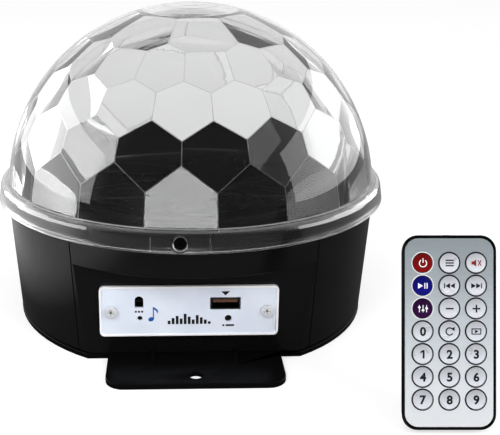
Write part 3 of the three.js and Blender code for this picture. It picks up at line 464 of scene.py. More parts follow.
speaker_level, socket_level = centre("speaker_cone").z, centre("switch_body").z
inlet_x, switch_x = 36.0, -36.0
inlet_hole, switch_half_width, switch_half_height = 5.8, 6.5, 9.6
hole_pitch, grille_hole = 5.0, 1.5
grille_places = [(0.0, 0.0)] + [(hole_pitch * ring * math.sin(turn), hole_pitch * ring * math.cos(turn))
                                for ring in (1, 2) for turn in round_turns(6 * ring)]
openings = [moved(disc(grille_hole, cut_depth, 20),
                  Matrix.Translation((x, cut_start, speaker_level + z)) @ facing_rear)
            for x, z in grille_places]
openings.append(moved(disc(inlet_hole, cut_depth, 48),
                      Matrix.Translation((inlet_x, cut_start, socket_level)) @ facing_rear))
openings.append(slab(
    (switch_x - switch_half_width, cut_start, socket_level - switch_half_height),
    (switch_x + switch_half_width, cut_start + cut_depth, socket_level + switch_half_height)))
rear = carved(housing_shell(), seam_wedge(seam_shift))
finished("rear_shell", carved(rear, together(openings)), [black_gloss], "lamp", ["rear_housing"],
         edge=0.4, steps=3)


# Front panel
# A pressed steel plate, powder coated a cool white, with a raised lip round its edge. It covers the sound
# board's window and has holes for the socket, the receiver's window, the microphone and the lamp.

panel_width, panel_height, panel_corner = 80.0, 24.0, 2.2
panel_front, plate_thickness, lip_height, lip_width = 75.1, 1.4, 1.9, 1.0
panel_screw_x = 34.8
coated = moulded("white powder coat", (222, 229, 249), 0.36, spread=0.1, grain=1900.0, relief=0.012)
# The lip's coat is paler than the rest of the panel: a painted highlight along the raised lip.
lip_painted_highlight = moulded("powder coat of the lip with a painted highlight", (250, 250, 255), 0.3, spread=0.1, grain=1900.0,
                    relief=0.012)


def panel_hole(outline, x, y):
    """A cut right through the panel, at a place on it."""
    return moved(prism(outline, 4.0), Matrix.Translation((x, y, -1)))


plate = prism(rounded(panel_width, panel_height, panel_corner), lip_height)
recess = prism(rounded(panel_width - 2 * lip_width, panel_height - 2 * lip_width, panel_corner - lip_width),
               3.0)
plate = carved(plate, moved(recess, Matrix.Translation((0, 0, plate_thickness))))
arch_radius, arch_foot, arch_spring = 1.9, -2.75, 0.85
receiver_arch = [(-arch_radius, arch_foot), (arch_radius, arch_foot)]
receiver_arch += [(arch_radius * math.cos(t), arch_spring + arch_radius * math.sin(t))
                  for t in (math.pi * k / 16 for k in range(17))]
socket_hole = slab((9.4, 0.5, -1), (23.0, 6.3, 3))
microphone_hole, lamp_hole = panel_hole(circle(1.1), -22.0, -3.5), panel_hole(circle(1.55), 17.5, -3.9)
screw_holes = [panel_hole(circle(1.6), x, 0) for x in (-panel_screw_x, panel_screw_x)]
plate = carved(plate, together([socket_hole, microphone_hole, lamp_hole,
                                panel_hole(receiver_arch, -22.3, 4.4), *screw_holes]))
# The lip's top and the plate's outer sides take the paler coat, which paints a highlight round the edge.
for face in plate.faces:
    middle = face.calc_center_median()
    face.material_index = int(middle.z > plate_thickness + 0.2 or abs(middle.x) > panel_width / 2 - 0.1
                              or abs(middle.y) > panel_height / 2 - 0.1)
on_panel = Matrix.Translation((panel_x, -panel_front, panel_level)) @ facing_front
moved(plate, on_panel @ Matrix.Translation((0, 0, -plate_thickness)))
finished("panel_plate", plate, [coated, lip_painted_highlight], "lamp", ["front_panel"],
         edge=0.25, steps=3)


# Panel print
# Plain screen-printed marks: a note and a row of level bars for the sound, a pointer over the socket and
# dots by the window and the lamp. The ink is dark grey and blue, a few hundredths of a millimetre thick.


def ink(name, shade):
    """Printing ink: flat colour broken by pinholes and a slightly uneven film."""
    material, at = surface(name)
    pores = noise(at, 2600.0, 2.0)
    film = noise(at, 300.0, 3.0)
    return skinned(material, {
        "Base Color": (pores * 0.6 + film * 0.4).mix(rgb(shade, 0.75), rgb(shade, 1.4)),
        "Roughness": 0.6 + film * 0.2, "Specular IOR Level": 0.2})


def arc(x, y, radius, width, start, end, steps=24):
    """A bent bar as an outline: part of a ring between two angles in degrees."""
    turns = [math.radians(start + (end - start) * k / steps) for k in range(steps + 1)]
    outer, inner = radius + width / 2, radius - width / 2
    return ([(x + outer * math.cos(t), y + outer * math.sin(t)) for t in turns]
            + [(x + inner * math.cos(t), y + inner * math.sin(t)) for t in turns[::-1]])


def bar(x0, y0, x1, y1):
    """A rectangle as an outline, from its lower left corner to its upper right one."""
    return [(x0, y0), (x1, y0), (x1, y1), (x0, y1)]


def printed(outlines, material_index, depth=0.06):
    """Flat shapes as thin slabs that lie half in the surface under them, z up."""
    marks = together([moved(prism(outline, depth), Matrix.Translation((0, 0, -depth / 2)))
                      for outline in outlines])
    for face in marks.faces:
        face.material_index = material_index
    return marks


dark_ink = ink("dark ink", (22, 23, 27))
blue_ink = ink("blue ink", (26, 84, 160))
level_heights = (1.7, 3.0, 4.0, 2.7, 5.0, 3.6, 2.2, 4.3, 3.2, 2.1, 1.2)
first_level, level_pitch, level_width, level_foot = -9.6, 1.8, 1.25, -6.4
levels = [bar(first_level + level_pitch * k, level_foot, first_level + level_pitch * k + level_width,
              level_foot + high) for k, high in enumerate(level_heights)]
socket_pointer = [(14.2, 9.3), (16.2, 7.3), (18.2, 9.3)]
receiver_dots = [bar(x, -0.6, x + 0.9, 0.3) for x in (-24.2, -22.8, -21.4)]
lamp_marks = [bar(14.9, -7.6, 15.8, -6.7), bar(16.4, -7.6, 20.2, -6.7)]
lean_x, lean_y = 0.93, 0.36
note_head = [(-17.0 + 1.35 * math.cos(t) * lean_x - math.sin(t) * lean_y,
              -3.9 + 1.35 * math.cos(t) * lean_y + math.sin(t) * lean_x) for t in round_turns(24)]
note_stem = bar(-16.2, -3.8, -15.7, 2.0)
note_flag = [(-15.7, 2.0), (-15.7, 0.9), (-14.6, 0.0), (-14.2, -1.3), (-13.8, 0.2), (-14.7, 1.3)]
marks = together([printed([*levels, socket_pointer, *receiver_dots, *lamp_marks], 0),
                  printed([note_head, note_stem, note_flag], 1)])
finished("panel_print", moved(marks, on_panel), [dark_ink, blue_ink], "lamp", [])


# Panel screws
# Two bright cross-head screws in nickel-plated steel. They pass through the panel's ends into the
# fascia's bosses and hold the panel down.

panel_head = {"head radius": 2.7, "head height": 1.3, "shank radius": 1.3, "length": 9.0, "crown": 0.4}
bright_steel = metal("nickel plate", (236, 238, 242), 0.34, Metallic=0.3)
head_seat = panel_front + 0.3
for side, x in (("left", panel_x - panel_screw_x), ("right", panel_x + panel_screw_x)):
    form = grown("panel screw tree", panel_head, screw_tree, bright_steel)
    moved(form, Matrix.Translation((x, -head_seat, panel_level)) @ facing_front)
    finished("panel_screw_set_" + side, form, [bright_steel], "lamp", ["panel_screw_" + side])


# Sound board, socket, receiver and lamp behind the panel
# The circuit board stands on the fascia's bosses. It carries the plated steel socket with its brown
# tongue, the infrared receiver in dark epoxy, and a small smoked lamp that shows that the power is on.


def dress(material, *nodes):
    """Gives solids that stay as they are their finish."""
    for node in nodes:
        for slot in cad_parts[node].material_slots:
            slot.material = material


def circuit(name, shade, top=None):
    """A lacquered board with tracks and tinned pads, and above a level the parts' own dark epoxy."""
    material, at = surface(name)
    grid = at.node("ShaderNodeMapping", {}, {"Vector": at, "Rotation": (0.6, 0.3, 0.785)})
    cells = at.node("ShaderNodeTexVoronoi", {"distance": "CHEBYCHEV"}, {"Vector": grid, "Scale": 260.0,
                                                                       "Randomness": 0.7})
    tracks = at.node("ShaderNodeTexWave", {"bands_direction": "DIAGONAL"}, {
        "Vector": at, "Scale": 170.0, "Distortion": 6.0, "Detail": 1.0, "Detail Scale": 0.6})
    pads = cells < 0.22
    lacquer = (tracks > 0.55).mix(rgb(shade), rgb(shade, 1.9))
    colour = pads.mix(lacquer, rgb((190, 190, 184)))
    metallic = pads * 0.8
    if top is not None:
        height = at.node("ShaderNodeSeparateXYZ", {}, {"Vector": at}, "Z") > top * mm
        colour, metallic = height.mix(colour, rgb((24, 22, 30))), metallic * (1.0 - height)
    bump = relief_from(tracks, 0.5, 0.03)
    return skinned(material, {
        "Base Color": colour, "Metallic": metallic, "Roughness": 0.35 - pads * 0.1, "Normal": bump})


dress(circuit("sound board lacquer", (31, 90, 52)), "control_board", "power_board")
plated = metal("tinned shell", (128, 129, 132), 0.28, stretch=(1.0, 8.0, 1.0))
finished("socket_shell", copied("usb_shell"), [plated], "lamp", ["usb_shell"], edge=0.1)
dress(moulded("brown nylon", (96, 62, 44), 0.42), "usb_tongue")
smoked = moulded("smoked epoxy", (9, 9, 12), 0.12, spread=0.05, grain=300.0, relief=0.005)
dress(smoked, "ir_receiver")
finished("power_lamp", copied("status_led"), [smoked], "lamp", ["status_led"], edge=0.3, steps=3)


# Speaker
# A small full-range driver behind the grille: a pressed steel basket and a black paper cone with a cap,
# glued at its rim. Rims moulded round the grille's holes keep their edges from chipping.

fibre, at = surface("pressed paper")
strands = noise(at, 1100.0, 6.0, 3.0)
pulp = relief_from(strands, 0.8, 0.05)
skinned(fibre, {
    "Base Color": strands.mix(rgb((24, 22, 21)), rgb((58, 54, 50))), "Roughness": 0.8 + strands * 0.15,
    "Normal": pulp})
dress(fibre, "speaker_cone")
dress(metal("basket steel", (70, 71, 74), 0.4), "speaker_frame")


def rims_tree(size):
    """Rings round the middle hole and in two hexagonal rounds about it, along Z."""
    pitch = size["pitch"]
    section = pitch.node("GeometryNodeCurvePrimitiveCircle", {}, {"Resolution": 10, "Radius": size["bead"]})
    path = pitch.node("GeometryNodeCurvePrimitiveCircle", {}, {"Resolution": 28, "Radius": size["hole"]})
    bead = pitch.node("GeometryNodeCurveToMesh", {}, {"Curve": path, "Profile Curve": section})
    spots = [pitch.node("GeometryNodeMeshCircle", {"fill_type": "NONE"}, {"Vertices": 1, "Radius": 0.0001})]
    for rank in (1, 2):
        spots.append(pitch.node("GeometryNodeMeshCircle", {"fill_type": "NONE"}, {
            "Vertices": 6 * rank, "Radius": pitch * float(rank)}))
    spots = pitch.node("GeometryNodeJoinGeometry", {}, {"Geometry": spots})
    return pitch.node("GeometryNodeInstanceOnPoints", {}, {"Points": spots, "Instance": bead})


rims = grown("grille rims tree", {"pitch": hole_pitch, "hole": 1.75, "bead": 0.22}, rims_tree, black_gloss)
quarter_turn = Matrix.Rotation(math.pi / 2, 4, "Z")
moved(rims, Matrix.Translation((0, face_y, speaker_level)) @ facing_rear @ quarter_turn)
finished("grille_rims", rims, [black_gloss], "lamp", [])


# Power inlet and switch
# Both snap into the rear face from outside: a round socket for a plug-in supply with a bright centre pin,
# and a rocker switch in a matt bezel, whose glossy rocker carries a bar for on and a ring for off.

black_matte = moulded("black matt ABS", (22, 22, 23), 0.5, spread=0.12, grain=1500.0, relief=0.03,
                      **{"Specular IOR Level": 0.3})
inlet_black, at = surface("inlet body and pin")
parts = at.node("ShaderNodeSeparateXYZ", {}, {"Vector": at}, "X")
across, rise = parts - inlet_x * mm, parts.other("Z") - socket_level * mm
pin_radius = 1.15 * mm
pin = (across * across + rise * rise) < pin_radius ** 2
grain = noise(at, 1400.0, 3.0)
bump = relief_from(grain, 0.5, 0.02)
skinned(inlet_black, {
    "Base Color": pin.mix(rgb((22, 22, 23)), rgb((200, 196, 180))), "Metallic": pin,
    "Roughness": 0.5 - pin * 0.25 + grain * 0.05, "Normal": bump})
finished("supply_inlet", copied("power_inlet"), [inlet_black], "lamp", ["power_inlet"],
         edge=0.3)
finished("switch_bezel", copied("switch_body"), [black_matte], "lamp", ["switch_body"],
         edge=0.3)
white_ink = ink("white ink", (226, 228, 232))
rocker = copied("switch_rocker")
rocker_axis = Matrix.Translation((switch_x, face_y - 1.0, socket_level))
tilt = rocker_axis @ Matrix.Rotation(math.radians(8), 4, "X") @ facing_rear
signs = printed([bar(-0.25, 3.6, 0.25, 6.0), arc(0, -4.7, 1.15, 0.45, 0, 359.9, 32)], 1, 0.5)
moved(signs, tilt @ Matrix.Translation((0, 0, 2.05)))
finished("rocker", together([rocker, signs]), [black_gloss, white_ink], "rocker", ["switch_rocker"])


# Heat sink, lamp board and lenses
# A finned aluminium plate hangs under the deck on four posts, with the lamps' white board on its back.
# A clear moulding over the board holds one collimating lens above each of the six lamps.

dress(metal("extruded aluminium", (196, 199, 203), 0.38, stretch=(1.0, 0.08, 1.0)), "heat_sink")
lamps, at = surface("white board and phosphor")
phosphor_level = ledge_top - 9.2
raised = at.node("ShaderNodeSeparateXYZ", {}, {"Vector": at}, "Z") > phosphor_level * mm
speck = noise(at, 900.0, 4.0)
mask = at.node("ShaderNodeTexVoronoi", {"feature": "DISTANCE_TO_EDGE"}, {"Vector": at, "Scale": 120.0})
board = (mask < 0.06).mix(rgb((228, 228, 222)), rgb((196, 198, 196)))
skinned(lamps, {
    "Base Color": raised.mix(board, speck.mix(rgb((214, 178, 60)), rgb((240, 214, 110)))),
    "Roughness": 0.4 + speck * 0.15})
dress(lamps, "lamp_board")


def bumps_tree(size):
    """Low domes with flat feet, on a circle, z up from 0."""
    radius = size["radius"]
    ball = radius.node("GeometryNodeMeshUVSphere", {}, {"Segments": 40, "Rings": 20, "Radius": radius})
    squash = radius.node("ShaderNodeCombineXYZ", {}, {"X": 1.0, "Y": 1.0, "Z": size["rise"] / radius})
    dome = radius.node("GeometryNodeTransform", {}, {"Geometry": ball, "Scale": squash})
    under = radius.node("GeometryNodeMeshCube", {}, {"Size": (60.0, 60.0, 30.0)})
    under = radius.node("GeometryNodeTransform", {}, {"Geometry": under, "Translation": (0.0, 0.0, -15.0)})
    dome = radius.node("GeometryNodeMeshBoolean", {"operation": "DIFFERENCE"}, {
        "Mesh 1": dome, "Mesh 2": under})
    places = radius.node("GeometryNodeMeshCircle", {"fill_type": "NONE"}, {
        "Vertices": size["count"], "Radius": size["circle"]})
    return radius.node("GeometryNodeInstanceOnPoints", {}, {"Points": places, "Instance": dome})


def see_through(name, roughness, **fixed):
    """Clear plastic: faint flow lines from moulding, and a gloss that dust barely dulls."""
    material, at = surface(name)
    flow = noise(at, 24.0, 3.0, 2.0)
    dust = noise(at, 420.0, 6.0)
    ripple = relief_from(flow, 0.3, 0.08)
    return skinned(material, {
        "Base Color": flow.mix((0.92, 0.925, 0.925, 1.0), (0.965, 0.965, 0.965, 1.0)),
        "Roughness": dust * 0.006 + roughness, "IOR": 1.5, "Transmission Weight": 1.0,
        "Normal": ripple, **fixed})


clear = see_through("clear lens plastic", 0.005)
lens_bottom, lens_circle = ledge_top - 1.6, 30.0
ring_inner, ring_outer = 19.5, 41.5
ring = turned([(ring_inner, lens_bottom), (ring_outer, lens_bottom), (ring_outer, ledge_top),
               (ring_inner, ledge_top)])
lens_profile = [(0, -4.5), (4.0, -4.5), (8.4, 0.8), (8.4, 2.4), (7.6, 3.1), (6.0, 3.7), (4.0, 4.15),
                (2.0, 4.35), (0, 4.4)]
for turn in round_turns(6):
    place = (lens_circle * math.sin(turn), -lens_circle * math.cos(turn), lens_bottom - 0.2)
    ring = carved(ring, moved(turned(lens_profile, 40), Matrix.Translation(place)), "UNION")
finished("lens_moulding", ring, [clear], "lamp", ["lamp_lens_ring"])


# Motor, bracket and shaft
# A slow geared motor in a drawn steel can hangs from a folded bracket in the middle of the deck. Its
# ground shaft comes up through the deck to carry the rotor.

dress(metal("drawn steel can", (168, 170, 174), 0.34, stretch=(1.0, 1.0, 0.1)), "motor", "motor_bracket")
dress(steel, "rotor_shaft")


# Deck
# A shallow dish in matt black ABS that drops onto the ledge inside the housing. Light leaves through a
# ring of six round windows, and its dark floor keeps stray light from washing out the spots.

inside_black = moulded("dark matt ABS", (13, 13, 14), 0.7, spread=0.1, relief=0.008,
                       **{"Specular IOR Level": 0.05})
finished("deck_dish", copied("deck"), [inside_black], "lamp", ["deck"], edge=0.25)


# Rotor: carrier and lens wheel
# A black disc on the motor's shaft, with a clear wheel of nine domed lenses clipped onto its hub. Turning
# slowly over the lamps, it sweeps their beams across the dome's facets.

finished("carrier_disc", copied("rotor_carrier"), [inside_black], "rotor", ["rotor_carrier"],
         edge=0.2)
wheel_bottom, wheel_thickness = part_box("lens_wheel")[0].z / mm, 1.2
wheel_bore, wheel_radius = 6.8, 56.0
wheel = turned([(wheel_bore, wheel_bottom), (wheel_radius, wheel_bottom),
                (wheel_radius, wheel_bottom + wheel_thickness), (wheel_bore, wheel_bottom + wheel_thickness)])
wheel_lens = {"circle": 41.0, "radius": 10.5, "rise": 1.6, "count": 9}
bumps = grown("wheel lens tree", wheel_lens, bumps_tree, clear)
bumps_level = wheel_bottom + wheel_thickness - 0.1
moved(bumps, Matrix.Translation((0, 0, bumps_level)) @ quarter_turn)
finished("lens_disc", carved(wheel, bumps, "UNION"), [clear], "rotor", ["lens_wheel"])


# Dome
# A clear polystyrene shell moulded in one with its skirt, smooth outside. Inside, staggered rows of flat
# facets, eighteen to a row and nine in the highest, break the light into spots. Three radial screws hold it.

dome_radius, facet_sphere, dome_sides = 91.5, 89.1, 240
dome_low, dome_high = (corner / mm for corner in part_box("dome"))
dome_centre = dome_high.z - dome_radius
skirt_bottom = dome_low.z
skirt_top = skirt_bottom + 9.4
skirt_under = housing_top + 0.3
skirt_inner, skirt_outer, skirt_shelf = 92.1, 96.2, 88.0
shoulder_radius, shoulder_round = 95.4, 3.6
facet_turn = math.radians(-4)
facet_places = 18

# Each row of facets: its tilt from upright in degrees, its distance as a share of the sphere's radius,
# whether it is turned by half a place, and how many places one facet takes.
facet_rows = ((78.3, 0.986, 0, 1), (66.1, 0.9856, 1, 1), (53.2, 0.9878, 0, 1), (39.7, 0.9892, 1, 1),
              (25.0, 0.9832, 1, 2))
top_facet, facet_edge = 0.9537, 0.2


def round_ball(foot):
    """The dome's outer ball, smooth, down to a foot at this height from its centre."""
    steps, first = 60, math.asin(foot / dome_radius)
    rises = [first + (math.pi / 2 - first) * k / steps for k in range(steps)]
    ball = turned([(0, foot)] + [(dome_radius * math.cos(t), dome_radius * math.sin(t)) for t in rises]
                  + [(0, dome_radius)], dome_sides)
    return moved(ball, Matrix.Translation((0, 0, dome_centre)))


def faceted_ball(foot):
    """The dome's inner ball of flat facets. Its slightly rounded edges take the second material, a frosted
    white that paints a highlight along each edge.
    """
    planes = [((0, 0, 1), top_facet * facet_sphere), ((0, 0, -1), -foot)]
    for polar, share, half, step in facet_rows:
        tilt = math.radians(polar)
        for k in range(facet_places // step):
            turn = facet_turn + (half + 2 * k * step) * math.pi / facet_places
            planes.append(((math.sin(tilt) * math.sin(turn), -math.sin(tilt) * math.cos(turn),
                            math.cos(tilt)), share * facet_sphere))
    normal = np.array([p[0] for p in planes])
    reach = np.array([p[1] for p in planes])
    pick = np.array([(i, j, k) for i in range(len(planes)) for j in range(i) for k in range(j)])
    threes = normal[pick]
    good = abs(np.linalg.det(threes)) > 1e-4
    points = np.linalg.solve(threes[good], reach[pick[good]][..., None])[..., 0]
    points = points[(points @ normal.T <= reach + 1e-6).all(axis=1)]
    form = bmesh.new()
    for point in np.unique(points.round(5), axis=0):
        form.verts.new(point)
    bmesh.ops.remove_doubles(form, verts=form.verts, dist=0.001)
    hull = bmesh.ops.convex_hull(form, input=form.verts)
    bmesh.ops.delete(form, geom=list(set(hull["geom_interior"] + hull["geom_unused"])), context="VERTS")
    bmesh.ops.dissolve_limit(form, angle_limit=math.radians(0.4), verts=form.verts, edges=form.edges)
    ridges = [edge for edge in form.edges if max(v.co.z for v in edge.verts) > foot + 0.01]
    rounding = bmesh.ops.bevel(form, geom=ridges, offset=facet_edge, offset_type="OFFSET", segments=1,
                               profile=0.5, affect="EDGES", clamp_overlap=True)
    # The rounded edges take the frosted white material: a painted highlight along each facet's edge.
    for face in rounding["faces"]:
        face.material_index = 1
    bmesh.ops.recalc_face_normals(form, faces=form.faces)
    return moved(form, Matrix.Translation((0, 0, dome_centre)))


shoulder = [(shoulder_radius - shoulder_round * (1 - math.cos(t)),
             skirt_top - shoulder_round * (1 - math.sin(t))) for t in (math.pi / 2 * i / 8 for i in range(9))]
skirt = turned([(skirt_inner, skirt_bottom + 0.3), (skirt_inner + 0.3, skirt_bottom),
                (skirt_outer - 0.4, skirt_bottom), (skirt_outer, skirt_bottom + 0.3),
                (skirt_outer - 0.05, skirt_bottom + 0.8), *shoulder, (skirt_shelf, skirt_top),
                (skirt_shelf, skirt_under), (skirt_inner, skirt_under)], dome_sides)
# Faces on the skirt's top and just above its outer lower edge take the frosted white: a painted highlight
# along both edges.
for face in skirt.faces:
    middle = face.calc_center_median()
    outside = middle.xy.length > skirt_inner + 0.9
    painted_highlight_face = middle.z > skirt_top - 0.1 or (skirt_bottom + 0.05 < middle.z < skirt_bottom + 0.4 and outside)
    face.material_index = 2 if painted_highlight_face else 3 * int(outside)
ball_sunk, facets_foot = 1.05, -1.5
shell = carved(skirt, round_ball(skirt_top - dome_centre - ball_sunk), "UNION")
shell = carved(shell, faceted_ball(facets_foot))

cap_radius, cap_edge, cap_rings, ring_half = 88.0, 22.8, (6.8, 12.8), 0.2
cap_turns = [math.asin(cap_edge / cap_radius) * k / 12 for k in range(13)]
hollow = [(cap_radius * math.sin(t), cap_radius * math.cos(t)) for t in cap_turns[::-1]]
cuts = [moved(turned([(0, 80.0), (cap_edge, 80.0), *hollow], 96), Matrix.Translation((0, 0, dome_centre)))]
for radius in cap_rings:
    low = dome_centre + math.sqrt(cap_radius ** 2 - radius ** 2) - 1.0
    inner, outer, high = radius - ring_half, radius + ring_half, low + 1.25
    cuts.append(turned([(inner, low), (outer, low), (outer, high), (inner, high)], 96))

screw_level, hole_start, seat_start = skirt_bottom + 4.2, 80.0, 93.1
hole_radius, seat_radius, mouth_radius = 1.8, 2.95, 3.2
line_turn, line_half, line_start = math.radians(7.5), 0.08, 95.3
for turn in round_turns(3, facet_turn):
    spin = Matrix.Rotation(turn, 4, "Z")
    hole = spin @ Matrix.Translation((0, -hole_start, screw_level)) @ facing_front
    seat = spin @ Matrix.Translation((0, -seat_start, screw_level)) @ facing_front
    mouth = turned([(0, 2.3), (mouth_radius - 0.3, 2.3), (mouth_radius, 2.6), (mouth_radius, 2.9),
                    (0, 2.9)], 48)
    # The mouth's outer faces take the frosted white: a painted highlight that rings each seat.
    for face in mouth.faces:
        face.material_index = 2 * int(face.calc_center_median().xy.length > mouth_radius - 0.2)
    cuts += [moved(disc(hole_radius, 18.0, 32), hole), moved(disc(seat_radius, 9.0, 48), seat),
             moved(mouth, seat)]
    for side in (-line_turn, line_turn):
        line = slab((-line_half, -99.0, skirt_bottom - 1), (line_half, -line_start, skirt_top - 0.5))
        # The score lines' faces take the same frosted white: a painted highlight along each line.
        for face in line.faces:
            face.material_index = 2
        cuts.append(moved(line, Matrix.Rotation(turn + side, 4, "Z")))
for cut in cuts:
    shell = carved(shell, cut)


def frosted_highlight(name, shade, through, roughness):
    """Clear plastic with a rough surface and a white share that scatters part of the light: a painted
    highlight where it is used.
    """
    material, at = surface(name)
    haze = noise(at, 700.0, 4.0)
    return skinned(material, {
        "Base Color": haze.mix(rgb(shade, 0.85), rgb(shade, 1.15)),
        "Roughness": roughness + haze * 0.15, "IOR": 1.5, "Transmission Weight": through})


# The second and third skins are frosted white: painted highlights on the facets' edges and on the skirt's
# edges, seats and lines.
dome_skins = [
    see_through("clear dome plastic", 0.005, **{"Sheen Weight": 0.8, "Sheen Roughness": 0.35}),
    frosted_highlight("facet edges of the dome with a painted highlight", (222, 222, 223), 0.88, 0.3),
    frosted_highlight("skirt edge with a painted highlight", (240, 240, 240), 0.7, 0.25),
    see_through("satin skirt plastic", 0.2, **{
        "Base Color": (0.99, 0.99, 0.99, 1.0), "Sheen Weight": 0.5, "Sheen Roughness": 0.33,
        "Coat Weight": 1.0, "Coat IOR": 1.7, "Coat Roughness": 0.03})]
finished("dome_shell", shell, dome_skins, "lamp", ["dome"], crease=5)


# Dome screws
# Three small black pan-head screws, set radially through the skirt into the housing's band. Their heads
# stand in round seats, whose mouths carry a painted highlight that shows as a bright ring in the clear skirt.

dark_steel = metal("blackened steel", (40, 40, 42), 0.34)
dome_head = {"head radius": 2.7, "head height": 1.6, "shank radius": 1.5, "length": 6.6, "crown": 0.4}
head_underside = 93.4
for number, turn in enumerate(round_turns(3, facet_turn), 1):
    form = grown("dome screw tree", dome_head, screw_tree, dark_steel)
    spin = Matrix.Rotation(turn, 4, "Z")
    moved(form, spin @ Matrix.Translation((0, -head_underside, screw_level)) @ facing_front)
    finished("dome_screw_set_%d" % number, form, [dark_steel], "lamp", ["dome_screw_%d" % number])


# Remote control: case
# A slim case in glossy black ABS, leaning back on its lower end. A step inside its rim carries the face, its
# sides slope in to the back, and the tray for the coin cell slides into its lower end.

remote_width, remote_height, remote_depth = 36.9, 75.8, 7.55
remote_x, remote_y = 96.95, -139.8
remote_turn, remote_lean = math.radians(-1.4), math.radians(16.74)
remote_place = (Matrix.Translation((remote_x, remote_y, remote_depth * math.sin(remote_lean)))
                @ Matrix.Rotation(remote_turn, 4, "Z") @ Matrix.Rotation(-remote_lean, 4, "X"))


def upright(inset, corner, front, thickness, taper=0.0):
    """A rounded plate that stands behind the remote's face, from a depth behind it, inside its outline."""
    form = moved(prism(rounded(remote_width - 2 * inset, remote_height - 2 * inset, corner, 10), thickness),
                 Matrix.Translation((0, front, remote_height / 2)) @ facing_rear)
    for point in form.verts:
        narrower = taper * point.co.y / remote_depth
        point.co.x *= 1 - 2 * narrower / remote_width
        point.co.z *= 1 - narrower / remote_height
    return form


remote_corner, rim_width, rim_corner = 6.2, 1.0, 5.2
wall_width, wall_corner, room_depth = 2.6, 3.6, 3.45
case = upright(0, remote_corner, 0.0, remote_depth, taper=1.6)
case = carved(case, upright(rim_width, rim_corner, -2.0, 3.1))
case = carved(case, upright(wall_width, wall_corner, 0.0, room_depth))
tray_room = slab((-12.3, 3.15, -2.0), (12.3, 6.75, 27.3))
lamp_radius, lamp_depth, end_wall = 1.8, 3.9, 6.5
lamp_opening = moved(disc(lamp_radius, 12.0), Matrix.Translation((0, lamp_depth, remote_height - end_wall)))
case = carved(carved(case, tray_room), lamp_opening)
case_black = moulded("remote's gloss black", (8, 8, 9), 0.22, relief=0.01, **{"Specular IOR Level": 0.12})
finished("remote_shell", moved(case, remote_place), [case_black], "remote", ["remote_case"],
         edge=0.55, steps=4)


# Remote control: face
# A thin plate with a brushed silver film and a round hole for every key. Its colour carries painted shade,
# darker and bluer towards its upper end.
# It drops into the case's rim and is held by its glued edge.

key_rows = (("7", "8", "9"), ("4", "5", "6"), ("1", "2", "3"), ("0", "repeat", "source"),
            ("equaliser", "volume_down", "volume_up"), ("play_pause", "previous", "next"),
            ("power", "mode", "mute"))
key_pitch_x, lowest_key, highest_key, key_gap = 10.35, 11.95, 10.8, 1.35
key_pitch_z = (remote_height - lowest_key - highest_key) / (len(key_rows) - 1)
key_radius = (key_pitch_z - key_gap) / 2
film, at = surface("silver film with painted shade")
parts = at.node("ShaderNodeSeparateXYZ", {}, {"Vector": at}, "Z")
# The height up the face sets painted shade: light at the lower end, darker and bluer towards the upper end.
shade = at.node("ShaderNodeMapRange", {}, {"Value": parts, "From Min": 0.004, "From Max": 0.073})
flakes = noise(at, 2400.0, 2.0)
brushed = at.node("ShaderNodeMapping", {}, {"Vector": at, "Scale": (1.0, 1.0, 14.0)})
strokes = noise(brushed, 90.0, 6.0)
painted_shade_stops = [(0.0, 0.95), (0.2, 0.93), (0.57, 0.7), (0.81, 0.48), (1.0, 0.38)]
film_with_painted_shade = at.node("ShaderNodeValToRGB", {"stops": painted_shade_stops}, {"Fac": shade + (strokes - 0.5) * 0.12})
painted_shade_tint = shade.mix((0.95, 0.97, 1.0, 1.0), (0.82, 0.93, 1.0, 1.0))
for layer in (painted_shade_tint, flakes.mix((0.93, 0.93, 0.93, 1.0), (1.0, 1.0, 1.0, 1.0))):
    film_with_painted_shade = at.node("ShaderNodeMix", {"data_type": "RGBA", "blend_type": "MULTIPLY"},
                   {0: 1.0, 6: film_with_painted_shade, 7: layer}, 2)
bump = relief_from(flakes, 0.4, 0.01)
skinned(film, {
    "Base Color": film_with_painted_shade, "Metallic": 0.35, "Roughness": 0.34 + (strokes - 0.5) * 0.15, "Normal": bump})
key_places = {name: ((column - 1) * key_pitch_x, lowest_key + row * key_pitch_z)
              for row, names in enumerate(key_rows) for column, name in enumerate(names)}
face_thickness, face_inset, hole_gap = 0.8, 1.3, 0.3
face = upright(face_inset, rim_corner, 0.0, face_thickness)
holes = together([moved(disc(key_radius + hole_gap, 4.0, 48), Matrix.Translation((x, -1.5, z)) @ facing_rear)
                  for x, z in key_places.values()])
finished("remote_plate", moved(carved(face, holes), remote_place), [film], "remote", ["remote_face"],
         edge=0.12)


def key_rings_tree(size):
    """A bead round each place of a grid, in the grid's plane."""
    across = size["across"]
    grid = across.node("GeometryNodeMeshGrid", {}, {
        "Size X": across, "Size Y": size["up"], "Vertices X": size["columns"], "Vertices Y": size["rows"]})
    section = across.node("GeometryNodeCurvePrimitiveCircle", {}, {"Resolution": 8, "Radius": size["bead"]})
    path = across.node("GeometryNodeCurvePrimitiveCircle", {}, {"Resolution": 40, "Radius": size["ring"]})
    bead = across.node("GeometryNodeCurveToMesh", {}, {"Curve": path, "Profile Curve": section})
    return across.node("GeometryNodeInstanceOnPoints", {}, {"Points": grid, "Instance": bead})


ring_sizes = {"across": 2 * key_pitch_x, "up": (len(key_rows) - 1) * key_pitch_z, "columns": 3,
              "rows": len(key_rows), "ring": key_radius + 0.42, "bead": 0.18}
key_rings = grown("key rings tree", ring_sizes, key_rings_tree, dark_ink)
for face in key_rings.faces:
    middle = face.calc_center_median()
    face.material_index = int(middle.x < -key_pitch_x / 2 and middle.y > key_pitch_z / 2)
moved(key_rings, remote_place @ Matrix.Translation((0, 0, lowest_key + 3 * key_pitch_z)) @ facing_front)
finished("key_rings", key_rings, [dark_ink, white_ink], "remote", [])


